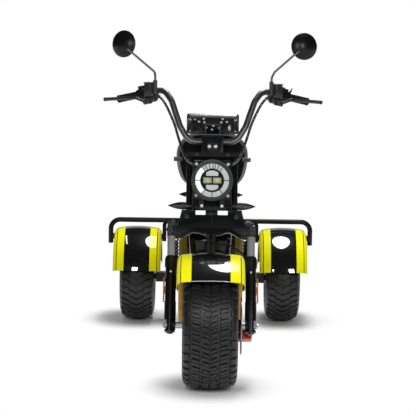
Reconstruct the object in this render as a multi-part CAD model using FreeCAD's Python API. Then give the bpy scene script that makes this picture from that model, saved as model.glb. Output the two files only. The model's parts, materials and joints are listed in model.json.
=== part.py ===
import FreeCAD, Part
import math
import os

# Electric three-wheeled scooter: one steered fat tyre in front, two driven wheels behind.
# Millimetres. +Z is up from the floor, the front faces -Y and +X is the rider's left.
# The origin lies on the floor, under the middle of the overall length and width.

# Wheels and stance
WHEELBASE = 1300.0
REAR_TRACK = 652.0
FRONT_TYRE_D = 480.0
FRONT_TYRE_W = 205.0
FRONT_TREAD_W = 178.0
FRONT_RIM_D = 304.0
FRONT_RIM_W = 150.0
REAR_TYRE_D = 386.0
REAR_TYRE_W = 152.0
REAR_TREAD_W = 124.0
REAR_RIM_D = 178.0
REAR_RIM_W = 112.0
SHOULDER_DROP = 13.0
TYRE_WALL = 11.0
RIM_WALL = 5.0
RIM_FLANGE = 9.0
RUNNING_FIT = 0.05
SEAT_FIT = 0.1

# Front axle, hub and brake
AXLE_R = 7.5
FRONT_HUB_R = 31.0
FRONT_HUB_W = 150.0
DISC_R = 109.0
DISC_T = 4.0
DISC_X = 118.0
DISC_CARRIER_R = 42.0
PAD_GAP = 2.5
CALIPER_REACH = 92.0
CALIPER_SIZE = (58.0, 56.0, 38.0)

# Fork, in its own frame: origin on the front axle, z up the legs, y to the rear
RAKE = 26.0
FORK_OFFSET = 40.0
LEG_SPACING = 308.0
SLIDER_R = 20.5
SLIDER_LOW = -26.0
COLLAR_R = 24.0
COLLAR_H = 42.0
STANCHION_R = 15.5
REFLECTOR_LOW = 92.0
REFLECTOR_HIGH = 184.0
LUG_FACE = 12.0
STANCHION_LOW = 120.0
BRIDGE_LOW = FRONT_TYRE_D / 2 + 113.0
BRIDGE_SHOULDER = BRIDGE_LOW + 35.0
BRIDGE_HIGH = BRIDGE_LOW + 79.0
BRIDGE_ARCH = 25.0
BRIDGE_ARCH_W = 140.0
BRIDGE_FOOT_W = 228.0
BRIDGE_BOSS_H = 20.0
SLIDER_HIGH = BRIDGE_LOW - 81.0
BRIDGE_W = 342.0
BRIDGE_TOP_W = 232.0
BRIDGE_FRONT = 34.0
BRIDGE_DEPTH = 56.0
BRIDGE_WALL = 7.0
UPRIGHT_SPACING = 176.0
UPRIGHT_R = 12.5
STEM_R = 14.0
HEAD_TUBE_R = 24.0
HEADSET_GAP = 2.0
CLAMP_LOW = BRIDGE_HIGH + 244.0
CLAMP_T = 18.0
STEERING_LOCK = 35.0

# Handlebar and what it carries; places are behind and above the fork's axis at the upper clamp
BAR_R = 12.5
BAR_RISE_POINTS = ((0.0, 34.7, 60.4), (92.0, 34.7, 60.4), (130.0, 55.7, 120.4), (165.0, 95.7, 218.4))
BAR_SHOULDER = (196.0, 127.7, 258.4)
BAR_END = (383.0, 218.7, 210.4)
BAR_BEND = 55.0
RISER_W = 84.0
RISER_REAR = 25.0
GRIP_R = 16.5
GRIP_LENGTH = 104.0
GRIP_GROOVES = 12
GRIP_GROOVE = (3.0, 1.5)
SWITCH_R = 21.0
SWITCH_W = 36.0
CYLINDER_W = 42.0
LEVER_R = 5.0
MIRROR_R = 54.0
MIRROR_DEPTH = 24.0
MIRROR_FOOT = 42.0
MIRROR_TURNS = (17.0, 31.0)
MIRROR_CENTRE = (361.0, 153.7, 436.4)
MIRROR_KINK = (238.0, 127.7, 332.4)
MIRROR_STALK_R = 4.5
DASH_SIZE = (206.0, 90.0, 24.0)
DASH_CENTRE = (40.7, 132.4)
DASH_TILT = 39.0
DASH_BOSSES = ((-84.0, 26.0), (-42.0, 26.0), (42.0, 26.0), (84.0, 26.0), (-84.0, -26.0), (84.0, -26.0))
LOOM_R = 5.5
LOOM_POINTS = (
    (190.0, 77.7, 202.4), (160.0, 48.7, 132.4), (143.0, 23.7, 77.4), (122.0, -12.3, 24.4),
    (98.0, -42.3, -5.6), (62.0, -56.3, -25.6), (34.0, -70.3, -35.6),
)
HOSE_R = 3.5
HOSE_TOP_POINTS = (
    (-22.0, 46.0, 30.4), (-14.0, 50.0, 8.0), (12.0, 54.0, -9.0), (46.0, 56.0, -8.0), (84.0, 52.0, -22.0),
    (118.0, 42.0, -48.0), (142.0, 48.0, -78.0),
)

# Headlamp and front signals, placed from the upper clamp too
LAMP_Y = -171.3
LAMP_Z = -66.6
LAMP_R = 80.0
LAMP_BUCKET_R = 70.0
LAMP_DEPTH = 96.0
LAMP_RING_R = 66.0
LAMP_CORE_R = 43.0
LAMP_SPLITS = (0.0, 52.0, 128.0, 180.0, 232.0, 270.0, 308.0)
LAMP_SLOT = 2.6
LAMP_BAND = 26.0
PROJECTOR_R = 11.5
PROJECTOR_X = 18.5
LAMP_PLATE = 152.0
SIGNAL_Z = -171.6
SIGNAL_Y = -126.3
SIGNAL_INNER = 60.0
SIGNAL_TIP = 169.0
SIGNAL_R = 14.5

# Fenders
FENDER_T = 3.0
FRONT_FENDER_R = FRONT_TYRE_D / 2 + 37.0
FRONT_FENDER_W = 256.0
FRONT_FENDER_FORE = 42.0
FRONT_FENDER_AFT = 52.0
REAR_FENDER_R = REAR_TYRE_D / 2 + 36.0
REAR_FENDER_W = 212.0
REAR_FENDER_FORE = 74.0
REAR_FENDER_AFT = 80.0
FENDER_CROWN = 7.0
FENDER_SHOULDER = 26.0
FENDER_SIDE = 58.0

# Frame tubes and body, behind the front axle and above the floor; setbacks are ahead of the rear axle
BACKBONE_SETBACK = 500.0
BELLY_SETBACK = 335.0
STRUT_SETBACK = 270.0
PIVOT_SETBACK = 300.0
SHOCK_SETBACK = 110.0
SEAT_SETBACK = 478.0
SEAT_OVERHANG = 100.0
RAIL_OVERHANG = 125.0
TAIL_OVERHANG = 152.0
MAIN_TUBE_R = 22.0
DOWN_TUBE_R = 18.0
RAIL_R = 12.5
BACKBONE_END = (WHEELBASE - BACKBONE_SETBACK, 700.0)
BELLY_FRONT = FRONT_FENDER_R + 85.0
BELLY_REAR = WHEELBASE - BELLY_SETBACK
BELLY_LOW = 155.0
BELLY_HIGH = 538.0
BELLY_DIP = 12.0
BELLY_W = 258.0
BELLY_COVER_T = 33.0
CRADLE_X = 84.0
RAIL_X = 92.0
RAIL_Z = 672.0
RAIL_END = WHEELBASE + RAIL_OVERHANG
STRUT_Y = WHEELBASE - STRUT_SETBACK
BOARD_W = 58.0
BOARD_LENGTH = 250.0
BOARD_SETBACK = 120.0
BOARD_Z = 318.0
BOARD_T = 14.0
BOARD_RIBS = 5
BOARD_RIB = (5.0, 2.5)

# Tank: stations as (share of the length, half width, underside, top)
TANK_FRONT = 330.0
TANK_REAR = BACKBONE_END[0] + 15.0
TANK_STATIONS = (
    (0.0, 112.0, 730.0, 900.0),
    (0.206, 136.0, 724.0, 924.0),
    (0.474, 145.0, 722.0, 924.0),
    (0.763, 128.0, 724.0, 884.0),
    (1.0, 82.0, 728.0, 800.0),
)
TANK_RAKE_GAP = 92.0
LATCH_X = 153.0
LATCH_Y = 392.0
LATCH_Z = 833.0

# Seat
SEAT_FRONT = WHEELBASE - SEAT_SETBACK
SEAT_REAR = WHEELBASE + SEAT_OVERHANG
SEAT_W = 286.0
SEAT_TAIL_W = 236.0
SEAT_LOW = 684.7
SEAT_DRIVER_Z = 770.0
SEAT_TAIL_Z = 822.0
SEAT_BASE_T = 12.0

# Rear axle, suspension, rack and tail
BEAM = 42.0
BEAM_W = REAR_TRACK - REAR_TYRE_W - 12.0
STUB_R = 12.5
STUB_LENGTH = 79.0
MOTOR_R = 92.0
MOTOR_W = 190.0
ARM_X = 124.0
PIVOT = (WHEELBASE - PIVOT_SETBACK, 232.0)
SHOCK_X = BEAM_W / 2 - 76.0
SHOCK_TOP = (WHEELBASE - SHOCK_SETBACK, 452.0)
SPRING_R = 26.0
SPRING_WIRE_R = 4.0
SPRING_TURNS = 8.0
RACK_R = 11.0
RACK_Z = REAR_TYRE_D / 2 + REAR_FENDER_R + 29.0
RACK_X = REAR_TRACK / 2 + REAR_FENDER_W / 2 + 18.0
RACK_LOW = RACK_Z - 106.0
RACK_BEND = 42.0
RACK_DROP_X = REAR_TRACK / 2 - REAR_FENDER_W / 2 - 12.0
TAIL_Y = WHEELBASE + TAIL_OVERHANG
PLATE_HOLES = (120.0, 80.0)
PLATE_HOLE_R = 3.0
PLATE_Z = 386.0
TAIL_LAMP_SIZE = (116.0, 24.0, 36.0)
TAIL_LAMP_Z = 590.0
REAR_SIGNAL_X = 38.0
REAR_SIGNAL_Z = 548.0

# Places worked out from the sizes above
FRONT_R = FRONT_TYRE_D / 2
REAR_R = REAR_TYRE_D / 2
REAR_REACH = REAR_FENDER_R * math.sin(math.radians(REAR_FENDER_AFT))
OVERALL_LENGTH = FRONT_R + WHEELBASE + REAR_REACH
FRONT_AXLE_Y = FRONT_R - OVERALL_LENGTH / 2
REAR_AXLE_Y = FRONT_AXLE_Y + WHEELBASE
WHEEL_X = REAR_TRACK / 2
LEG_X = LEG_SPACING / 2
UPRIGHT_X = UPRIGHT_SPACING / 2
CRADLE_Z = BELLY_LOW - RAIL_R - 0.3

X_AXIS = FreeCAD.Vector(1, 0, 0)
Y_AXIS = FreeCAD.Vector(0, 1, 0)
Z_AXIS = FreeCAD.Vector(0, 0, 1)
ORIGIN = FreeCAD.Vector(0, 0, 0)
FULL_TURN = 360.0


def vec(x, y, z):
    """A point or direction."""
    return FreeCAD.Vector(x, y, z)


def at(x, behind, z):
    """A point given by its distance behind the front axle."""
    return vec(x, FRONT_AXLE_Y + behind, z)


def up(x, behind, above):
    """A point of the steering head, given from the fork's axis at the upper clamp."""
    rake = math.radians(RAKE)
    return at(x, behind + CLAMP_LOW * math.sin(rake), above + FRONT_R + CLAMP_LOW * math.cos(rake))


def box(low, high):
    """A block between two corners."""
    size = high.sub(low)
    return Part.makeBox(size.x, size.y, size.z, low)


def rod(start, end, radius):
    """A round bar between two points."""
    run = end.sub(start)
    return Part.makeCylinder(radius, run.Length, start, run)


def cone(start, end, first, last):
    """A tapered round bar between two points."""
    run = end.sub(start)
    return Part.makeCone(first, last, run.Length, start, run)


def join(shapes):
    """The union of several solids, with its leftover seams removed where that keeps the volume."""
    whole = shapes[0]
    for shape in shapes[1:]:
        whole = whole.fuse(shape)
    plain = whole.copy()
    refined = whole.removeSplitter()
    if refined.isValid() and abs(refined.Volume - plain.Volume) < 0.0001 * plain.Volume:
        return refined
    return plain


def carve(shape, tools):
    """The shape with each tool cut away in turn."""
    for tool in tools:
        shape = shape.cut(tool)
    return shape


def mirrored(shape):
    """The same shape on the other side of the centre plane."""
    return shape.mirror(ORIGIN, X_AXIS)


def both_sides(shape):
    """A left and a right copy, as two separate solids."""
    return Part.makeCompound([shape, mirrored(shape)])


def bent_path(points, bend_radius):
    """Straight runs between the points, joined by tangent arcs."""
    edges = []
    last = points[0]
    for before, corner, after in zip(points, points[1:], points[2:]):
        back = before.sub(corner)
        ahead = after.sub(corner)
        turn = math.pi - back.getAngle(ahead)
        room = 0.45 * min(back.Length, ahead.Length)
        cut = min(bend_radius * math.tan(turn / 2), room)
        radius = cut / math.tan(turn / 2)
        back.normalize()
        ahead.normalize()
        arc_start = corner.add(back * cut)
        arc_end = corner.add(ahead * cut)
        middle = back.add(ahead)
        middle.normalize()
        depth = math.hypot(radius, cut) - radius
        edges.append(Part.makeLine(last, arc_start))
        edges.append(Part.Arc(arc_start, corner.add(middle * depth), arc_end).toShape())
        last = arc_end
    edges.append(Part.makeLine(last, points[-1]))
    return Part.Wire(edges)


def bent_tube(points, bend_radius, radius):
    """A round bar that follows the points with rounded bends."""
    path = bent_path(points, bend_radius)
    ring = Part.Wire(Part.makeCircle(radius, points[0], points[1].sub(points[0])))
    return path.makePipeShell([ring], True, False)


def prism(points, direction):
    """A flat outline pushed along a direction."""
    return Part.Face(Part.makePolygon(points + [points[0]])).extrude(direction)


def fork_placement():
    """Carries the fork's own frame to its place on the front axle."""
    return FreeCAD.Placement(at(0, 0, FRONT_R), FreeCAD.Rotation(X_AXIS, -RAKE))


def in_fork(shape):
    """Moves a shape drawn in the fork's frame to its place."""
    moved = shape.copy()
    moved.Placement = fork_placement().multiply(moved.Placement)
    return moved


def fork_point(x, y, z):
    """A point of the fork's frame, in the vehicle's frame."""
    return fork_placement().multVec(vec(x, y, z))


def tyre(outer_d, width, tread_w, rim_d, rim_w):
    """A hollow tyre about the X axis, open at the beads."""
    outer_r = outer_d / 2
    bead_r = rim_d / 2
    shoulder_r = outer_r - SHOULDER_DROP
    mid_r = (shoulder_r + bead_r) / 2
    half_bead = rim_w / 2
    half_tread = tread_w / 2
    inner_wall = TYRE_WALL
    crown_in = outer_r - 1.6 * inner_wall
    wall_r = bead_r + RIM_FLANGE + 1.0
    outer = [
        Part.LineSegment(vec(-half_bead, 0, bead_r), vec(-half_bead, 0, wall_r)),
        Part.Arc(vec(-half_bead, 0, wall_r), vec(-width / 2, 0, mid_r), vec(-half_tread, 0, shoulder_r)),
        Part.Arc(vec(-half_tread, 0, shoulder_r), vec(0, 0, outer_r), vec(half_tread, 0, shoulder_r)),
        Part.Arc(vec(half_tread, 0, shoulder_r), vec(width / 2, 0, mid_r), vec(half_bead, 0, wall_r)),
        Part.LineSegment(vec(half_bead, 0, wall_r), vec(half_bead, 0, bead_r)),
    ]
    bead_in = half_bead - inner_wall
    wall_in = width / 2 - inner_wall
    tread_in = half_tread - inner_wall
    shoulder_in = shoulder_r - inner_wall
    inner = [
        Part.Arc(vec(bead_in, 0, bead_r), vec(wall_in, 0, mid_r), vec(tread_in, 0, shoulder_in)),
        Part.Arc(vec(tread_in, 0, shoulder_in), vec(0, 0, crown_in), vec(-tread_in, 0, shoulder_in)),
        Part.Arc(vec(-tread_in, 0, shoulder_in), vec(-wall_in, 0, mid_r), vec(-bead_in, 0, bead_r)),
    ]
    edges = [curve.toShape() for curve in outer]
    edges.append(Part.makeLine(vec(half_bead, 0, bead_r), vec(bead_in, 0, bead_r)))
    edges += [curve.toShape() for curve in inner]
    edges.append(Part.makeLine(vec(-bead_in, 0, bead_r), vec(-half_bead, 0, bead_r)))
    section = Part.Face(Part.Wire(edges))
    return section.revolve(ORIGIN, X_AXIS, FULL_TURN)


def rim_barrel(rim_d, rim_w):
    """The rim's barrel about the X axis, with a flange outside each bead."""
    seat_r = rim_d / 2 - SEAT_FIT
    half = rim_w / 2 + SEAT_FIT
    lip = half + RIM_WALL
    flange_r = rim_d / 2 + RIM_FLANGE
    well_r = seat_r - 14.0
    well = half * 0.45
    points = [
        vec(-lip, 0, flange_r), vec(-half, 0, flange_r), vec(-half, 0, seat_r), vec(-well - 12, 0, seat_r),
        vec(-well, 0, well_r), vec(well, 0, well_r), vec(well + 12, 0, seat_r), vec(half, 0, seat_r),
        vec(half, 0, flange_r), vec(lip, 0, flange_r), vec(lip, 0, seat_r - RIM_WALL),
        vec(well + 12, 0, seat_r - RIM_WALL), vec(well, 0, well_r - RIM_WALL),
        vec(-well, 0, well_r - RIM_WALL), vec(-well - 12, 0, seat_r - RIM_WALL),
        vec(-lip, 0, seat_r - RIM_WALL),
    ]
    section = Part.Face(Part.makePolygon(points + [points[0]]))
    return section.revolve(ORIGIN, X_AXIS, FULL_TURN)


def around_x(shape, count, start=0.0):
    """Copies of a shape turned evenly about the X axis."""
    copies = []
    for index in range(count):
        copy = shape.copy()
        copy.rotate(ORIGIN, X_AXIS, start + FULL_TURN * index / count)
        copies.append(copy)
    return copies


def front_rim():
    """The cast front wheel: barrel, hub and ten spokes in five pairs."""
    barrel = rim_barrel(FRONT_RIM_D, FRONT_RIM_W)
    hub = rod(vec(-FRONT_HUB_W / 2, 0, 0), vec(FRONT_HUB_W / 2, 0, 0), FRONT_HUB_R)
    mount = rod(vec(0, 0, 0), vec(DISC_X - DISC_T / 2, 0, 0), FRONT_HUB_R - 6)
    spoke_out = FRONT_RIM_D / 2 - 17.0
    root = FRONT_HUB_R - 5.0
    tip_shift = 30.0
    spokes = []
    for side in (-1, 1):
        outline = [
            vec(-13, side * 4 - 8, root), vec(-13, side * 4 + 8, root),
            vec(-13, side * tip_shift + 9, spoke_out), vec(-13, side * tip_shift - 9, spoke_out),
        ]
        spokes += around_x(prism(outline, vec(26, 0, 0)), 5)
    wheel = join([barrel, hub, mount] + spokes)
    bore = rod(vec(-200, 0, 0), vec(200, 0, 0), AXLE_R + RUNNING_FIT)
    return wheel.cut(bore)


def brake_disc():
    """A drilled disc with a five-armed carrier, seated on the hub's end."""
    ring = Part.makeCylinder(DISC_R, DISC_T, vec(0, 0, 0), X_AXIS)
    ring = ring.cut(Part.makeCylinder(DISC_R - 34, DISC_T, vec(0, 0, 0), X_AXIS))
    core = Part.makeCylinder(DISC_CARRIER_R, DISC_T, vec(0, 0, 0), X_AXIS)
    arm = box(vec(0, -8, DISC_CARRIER_R - 5), vec(DISC_T, 8, DISC_R - 30))
    disc = join([ring, core] + around_x(arm, 5))
    holes = []
    for radius, start in ((DISC_R - 10, 0.0), (DISC_R - 24, 9.0)):
        hole = rod(vec(-1, 0, radius), vec(DISC_T + 1, 0, radius), 3.5)
        holes += around_x(hole, 20, start)
    bore = rod(vec(-1, 0, 0), vec(DISC_T + 1, 0, 0), AXLE_R + RUNNING_FIT)
    disc = carve(disc, holes + [bore])
    disc.translate(vec(DISC_X - DISC_T / 2, 0, 0))
    return disc


def rear_rim():
    """A pressed rear wheel for the left side: barrel, dished disc with windows, hub and stub shaft."""
    barrel = rim_barrel(REAR_RIM_D, REAR_RIM_W)
    plate_r = REAR_RIM_D / 2 - 10.0
    plate = Part.makeCylinder(plate_r, 8, vec(6, 0, 0), X_AXIS)
    window = rod(vec(0, 0, 52), vec(20, 0, 52), 11)
    plate = carve(plate, around_x(window, 6))
    hub = rod(vec(-REAR_RIM_W / 2 - 18, 0, 0), vec(26, 0, 0), 30)
    cap = cone(vec(26, 0, 0), vec(40, 0, 0), 22, 16)
    stub_end = -(WHEEL_X - BEAM_W / 2) - STUB_LENGTH
    stub = rod(vec(stub_end, 0, 0), vec(0, 0, 0), STUB_R)
    return join([barrel, plate, hub, cap, stub])


def arch(radius, width, side_depth):
    """Outline of a fender's outer face across the wheel: flat sides, round shoulders, a low crown."""
    half = width / 2
    edge_r = radius - FENDER_CROWN
    shoulder_r = radius - FENDER_CROWN - FENDER_SHOULDER
    inset = FENDER_SHOULDER
    bulge = FENDER_SHOULDER * (1 - math.sqrt(0.5))
    left = [vec(-half, 0, shoulder_r), vec(-half + bulge, 0, edge_r - bulge), vec(-half + inset, 0, edge_r)]
    right = [vec(half - inset, 0, edge_r), vec(half - bulge, 0, edge_r - bulge), vec(half, 0, shoulder_r)]
    return [
        Part.makeLine(vec(-half, 0, radius - side_depth), vec(-half, 0, shoulder_r)),
        Part.Arc(*left).toShape(),
        Part.Arc(vec(-half + inset, 0, edge_r), vec(0, 0, radius), vec(half - inset, 0, edge_r)).toShape(),
        Part.Arc(*right).toShape(),
        Part.makeLine(vec(half, 0, shoulder_r), vec(half, 0, radius - side_depth)),
    ]


def fender(radius, width, fore, aft):
    """A fender shell about the X axis, from fore degrees ahead of the top to aft degrees behind it."""
    outer_face = Part.Wire(arch(radius, width, FENDER_SIDE))
    closing = Part.makeLine(vec(width / 2, 0, radius - FENDER_SIDE), vec(-width / 2, 0, radius - FENDER_SIDE))
    outer = Part.Face(Part.Wire(outer_face.Edges + [closing]))
    inner = outer.copy()
    inner_scale = (width - 2 * FENDER_T) / width
    matrix = FreeCAD.Matrix()
    matrix.A11 = inner_scale
    matrix.A34 = -FENDER_T
    inner = inner.transformGeometry(matrix)
    section = outer.cut(inner)
    section.rotate(ORIGIN, X_AXIS, -aft)
    return section.revolve(ORIGIN, X_AXIS, fore + aft)


def fork_bridge():
    """The cast lower bridge, pocketed behind, with the boss that carries the steering stem."""
    half = BRIDGE_W / 2
    top = BRIDGE_TOP_W / 2
    arch = BRIDGE_ARCH_W / 2
    boss_top = BRIDGE_HIGH + BRIDGE_BOSS_H
    boss_in = UPRIGHT_X - UPRIGHT_R - 13
    right = [
        (0, BRIDGE_LOW + BRIDGE_ARCH), (arch, BRIDGE_LOW + BRIDGE_ARCH + 3), (BRIDGE_FOOT_W / 2, BRIDGE_LOW),
        (half, BRIDGE_LOW), (half, BRIDGE_SHOULDER), (top + 14, BRIDGE_SHOULDER), (top, boss_top),
        (boss_in, boss_top), (boss_in, BRIDGE_HIGH), (0, BRIDGE_HIGH),
    ]
    outline = [vec(x, -BRIDGE_FRONT, z) for x, z in right]
    outline += [vec(-x, -BRIDGE_FRONT, z) for x, z in reversed(right) if x > 0]
    casting = prism(outline, vec(0, BRIDGE_DEPTH, 0))
    rear = BRIDGE_DEPTH - BRIDGE_FRONT
    floor = BRIDGE_LOW + BRIDGE_ARCH + 7 + BRIDGE_WALL
    low = vec(0.35 * top, BRIDGE_WALL - BRIDGE_FRONT, floor)
    pocket = box(low, vec(top - 8, rear + 1, BRIDGE_HIGH - BRIDGE_WALL))
    casting = carve(casting, [pocket, mirrored(pocket)])
    boss = rod(vec(0, FORK_OFFSET, floor - BRIDGE_WALL), vec(0, FORK_OFFSET, BRIDGE_HIGH), HEAD_TUBE_R + 4)
    bridge = join([casting, boss])
    for side in (-1, 1):
        low = vec(side * LEG_X, 0, BRIDGE_LOW - 1)
        bridge = bridge.cut(rod(low, vec(side * LEG_X, 0, BRIDGE_SHOULDER - 8), STANCHION_R + SEAT_FIT))
        low = vec(side * UPRIGHT_X, 0, BRIDGE_HIGH)
        bridge = bridge.cut(rod(low, vec(side * UPRIGHT_X, 0, boss_top + 1), UPRIGHT_R + SEAT_FIT))
    return in_fork(bridge)


def fork_uprights():
    """The two bars that carry the upper clamp above the bridge."""
    low = vec(UPRIGHT_X, 0, BRIDGE_HIGH)
    high = vec(UPRIGHT_X, 0, CLAMP_LOW)
    return in_fork(both_sides(rod(low, high, UPRIGHT_R)))


def steering_stem():
    """The steering stem, from the bridge through the head tube and the upper clamp."""
    low = vec(0, FORK_OFFSET, BRIDGE_HIGH)
    high = vec(0, FORK_OFFSET, CLAMP_LOW + CLAMP_T)
    return in_fork(rod(low, high, STEM_R))


def fork_stanchions():
    """The two chromed inner tubes, from inside the sliders up into the bridge."""
    low = vec(LEG_X, 0, STANCHION_LOW)
    high = vec(LEG_X, 0, BRIDGE_SHOULDER - 8 - SEAT_FIT)
    return in_fork(both_sides(rod(low, high, STANCHION_R)))


def fork_sliders():
    """The two lower legs: bored tubes with a dust collar, a bumper step and an axle lug."""
    low = vec(LEG_X, 0, SLIDER_LOW)
    high = vec(LEG_X, 0, SLIDER_HIGH)
    leg = rod(low, high, SLIDER_R)
    collar = rod(vec(LEG_X, 0, SLIDER_HIGH - COLLAR_H), vec(LEG_X, 0, SLIDER_HIGH - 8), COLLAR_R)
    step = rod(vec(LEG_X, 0, 20), vec(LEG_X, 0, 92), SLIDER_R + 1.8)
    lug = rod(vec(LEG_X - SLIDER_R - 1, 0, 0), vec(LEG_X + LUG_FACE, 0, 0), 19)
    flat = box(vec(LEG_X + LUG_FACE, -30, -18), vec(LEG_X + 40, 30, 18))
    lug_inner = LEG_X - SLIDER_R - 4
    stay_lug = box(vec(lug_inner, -14, FRONT_FENDER_R - 81), vec(LEG_X, 14, FRONT_FENDER_R - 51))
    solid = join([leg, collar, step, lug, stay_lug])
    low = vec(LEG_X, 0, STANCHION_LOW - SEAT_FIT)
    bore = rod(low, vec(LEG_X, 0, SLIDER_HIGH + 1), STANCHION_R + SEAT_FIT)
    axle_hole = rod(vec(0, 0, 0), vec(LEG_X + 60, 0, 0), AXLE_R + SEAT_FIT)
    return in_fork(both_sides(carve(solid, [bore, axle_hole, flat])))


def fork_reflectors():
    """Two amber side reflectors on the outer faces of the sliders."""
    outer = LEG_X + SLIDER_R
    plate = box(vec(outer + 2, -13, REFLECTOR_LOW), vec(outer + 8, 13, REFLECTOR_HIGH))
    plate = plate.makeFillet(2.5, [e for e in plate.Edges if abs(e.tangentAt(0).x) > 0.9])
    middle = (REFLECTOR_LOW + REFLECTOR_HIGH) / 2
    pad = box(vec(LEG_X, -9, middle - 14), vec(outer + 2, 9, middle + 14))
    solid = join([plate, pad])
    low = vec(LEG_X, 0, REFLECTOR_LOW - 9)
    solid = solid.cut(rod(low, vec(LEG_X, 0, REFLECTOR_HIGH + 9), SLIDER_R + SEAT_FIT))
    return in_fork(both_sides(solid))


def front_axle():
    """The through axle with a nut and washer outside each leg and spacers beside the hub."""
    reach = LEG_X + LUG_FACE
    shaft = rod(vec(-reach - 17, 0, 0), vec(reach + 17, 0, 0), AXLE_R)
    solids = [shaft]
    for side in (-1, 1):
        solids.append(rod(vec(side * reach, 0, 0), vec(side * (reach + 3), 0, 0), 15))
        nut = [vec(side * (reach + 3), 12.5 * math.cos(a), 12.5 * math.sin(a)) for a in turns(6)]
        solids.append(prism(nut, vec(side * 9, 0, 0)))
    spacer_in = FRONT_HUB_W / 2 + 1
    solids.append(rod(vec(-spacer_in, 0, 0), vec(-LEG_X + SLIDER_R + 1, 0, 0), 13))
    disc_out = DISC_X + DISC_T / 2 + 1
    solids.append(rod(vec(disc_out, 0, 0), vec(LEG_X - SLIDER_R - 1, 0, 0), 13))
    axle = join(solids)
    axle.translate(at(0, 0, FRONT_R))
    return axle


def turns(count):
    """Evenly spaced angles of a full turn, in radians."""
    return [2 * math.pi * index / count for index in range(count)]


def front_caliper():
    """The red brake caliper behind the left leg, straddling the disc, with its bracket."""
    wide, long, tall = CALIPER_SIZE
    rear = CALIPER_REACH
    low = vec(DISC_X - 14, rear - long / 2, -tall / 2 - 14)
    body = box(low, vec(DISC_X - 14 + wide, rear + long / 2, tall / 2 - 14))
    body = body.makeFillet(7, [e for e in body.Edges if abs(e.tangentAt(0).y) > 0.9])
    slot_half = DISC_T / 2 + PAD_GAP
    slot = box(vec(DISC_X - slot_half, -DISC_R, -DISC_R), vec(DISC_X + slot_half, DISC_R + PAD_GAP, DISC_R))
    body = body.cut(slot)
    arm = box(vec(LEG_X - 8, 0, -12), vec(LEG_X + 8, rear - long / 2, 16))
    arm = arm.cut(rod(vec(LEG_X, 0, -60), vec(LEG_X, 0, 90), SLIDER_R + SEAT_FIT))
    arm = arm.cut(rod(vec(LEG_X - 40, 0, 0), vec(LEG_X + 40, 0, 0), 19 + SEAT_FIT))
    return in_fork(join([body, arm]))


def front_fender():
    """The front fender shell over the steered wheel."""
    shell = fender(FRONT_FENDER_R, FRONT_FENDER_W, FRONT_FENDER_FORE, FRONT_FENDER_AFT)
    shell.translate(at(0, 0, FRONT_R))
    return shell


def fender_stays():
    """Two plates that hold the front fender's sides to the slider lugs."""
    outer = LEG_X - SLIDER_R - 4
    inner = FRONT_FENDER_W / 2
    plate = box(vec(inner, -14, FRONT_FENDER_R - 87), vec(outer, 14, FRONT_FENDER_R - 45))
    return in_fork(both_sides(plate))


def upper_clamp():
    """The upper clamp plate over the uprights and the stem."""
    half = UPRIGHT_X + UPRIGHT_R + 6
    rear = FORK_OFFSET + 26
    outline = [
        vec(-half, -20, CLAMP_LOW), vec(half, -20, CLAMP_LOW), vec(half, 12, CLAMP_LOW),
        vec(30, rear, CLAMP_LOW), vec(-30, rear, CLAMP_LOW), vec(-half, 12, CLAMP_LOW),
    ]
    plate = prism(outline, vec(0, 0, CLAMP_T))
    plate = plate.makeFillet(9, [e for e in plate.Edges if abs(e.tangentAt(0).z) > 0.9])
    low = vec(0, FORK_OFFSET, CLAMP_LOW - 1)
    plate = plate.cut(rod(low, vec(0, FORK_OFFSET, CLAMP_LOW + CLAMP_T + 1), STEM_R + SEAT_FIT))
    return in_fork(plate)


def bar_in_fork():
    """The handlebar's middle as the fork's frame sees it: its y and z there."""
    middle = fork_placement().inverse().multVec(up(*BAR_RISE_POINTS[0]))
    return middle.y, middle.z


def handlebar_clamp():
    """The riser block on the upper clamp, bored for the bar, with two cap bolts."""
    bar_y, bar_z = bar_in_fork()
    half = RISER_W / 2
    base = CLAMP_LOW + CLAMP_T
    block = box(vec(-half, bar_y - 21, base), vec(half, RISER_REAR, bar_z + 19))
    across = [e for e in block.Edges if abs(e.tangentAt(0).x) > 0.9]
    block = block.makeFillet(5, [e for e in across if e.CenterOfMass.z > base + 5])
    window = box(vec(-9, bar_y - 22, base + 6), vec(9, RISER_REAR + 1, bar_z - 19))
    seat_bore = rod(vec(-half - 1, bar_y, bar_z), vec(half + 1, bar_y, bar_z), BAR_R + SEAT_FIT)
    block = carve(block, [window, seat_bore])
    bolts = []
    for side in (-1, 1):
        bolts.append(rod(vec(side * 24, bar_y - 25, bar_z + 8), vec(side * 24, bar_y - 20, bar_z + 8), 5))
    return in_fork(join([block] + bolts))


def handlebar():
    """The high bent bar, from one end to the other."""
    left = [up(*point) for point in BAR_RISE_POINTS[1:]] + [up(*BAR_SHOULDER), up(*BAR_END)]
    points = [vec(-p.x, p.y, p.z) for p in reversed(left)] + left
    return bent_tube(points, BAR_BEND, BAR_R)


def grip_frame():
    """Placement of the left bar end: X outwards along it, -Y forwards, Z up, origin at the shoulder."""
    start = up(*BAR_SHOULDER)
    outward = up(*BAR_END).sub(start)
    length = outward.Length
    rotation = FreeCAD.Rotation(outward, vec(0, 0, 0), Z_AXIS, "XZY")
    return FreeCAD.Placement(start, rotation), length


def on_bar(shape):
    """Moves a shape from the bar end's frame to both bar ends."""
    placement, _ = grip_frame()
    moved = shape.copy()
    moved.Placement = placement.multiply(moved.Placement)
    return both_sides(moved)


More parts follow.
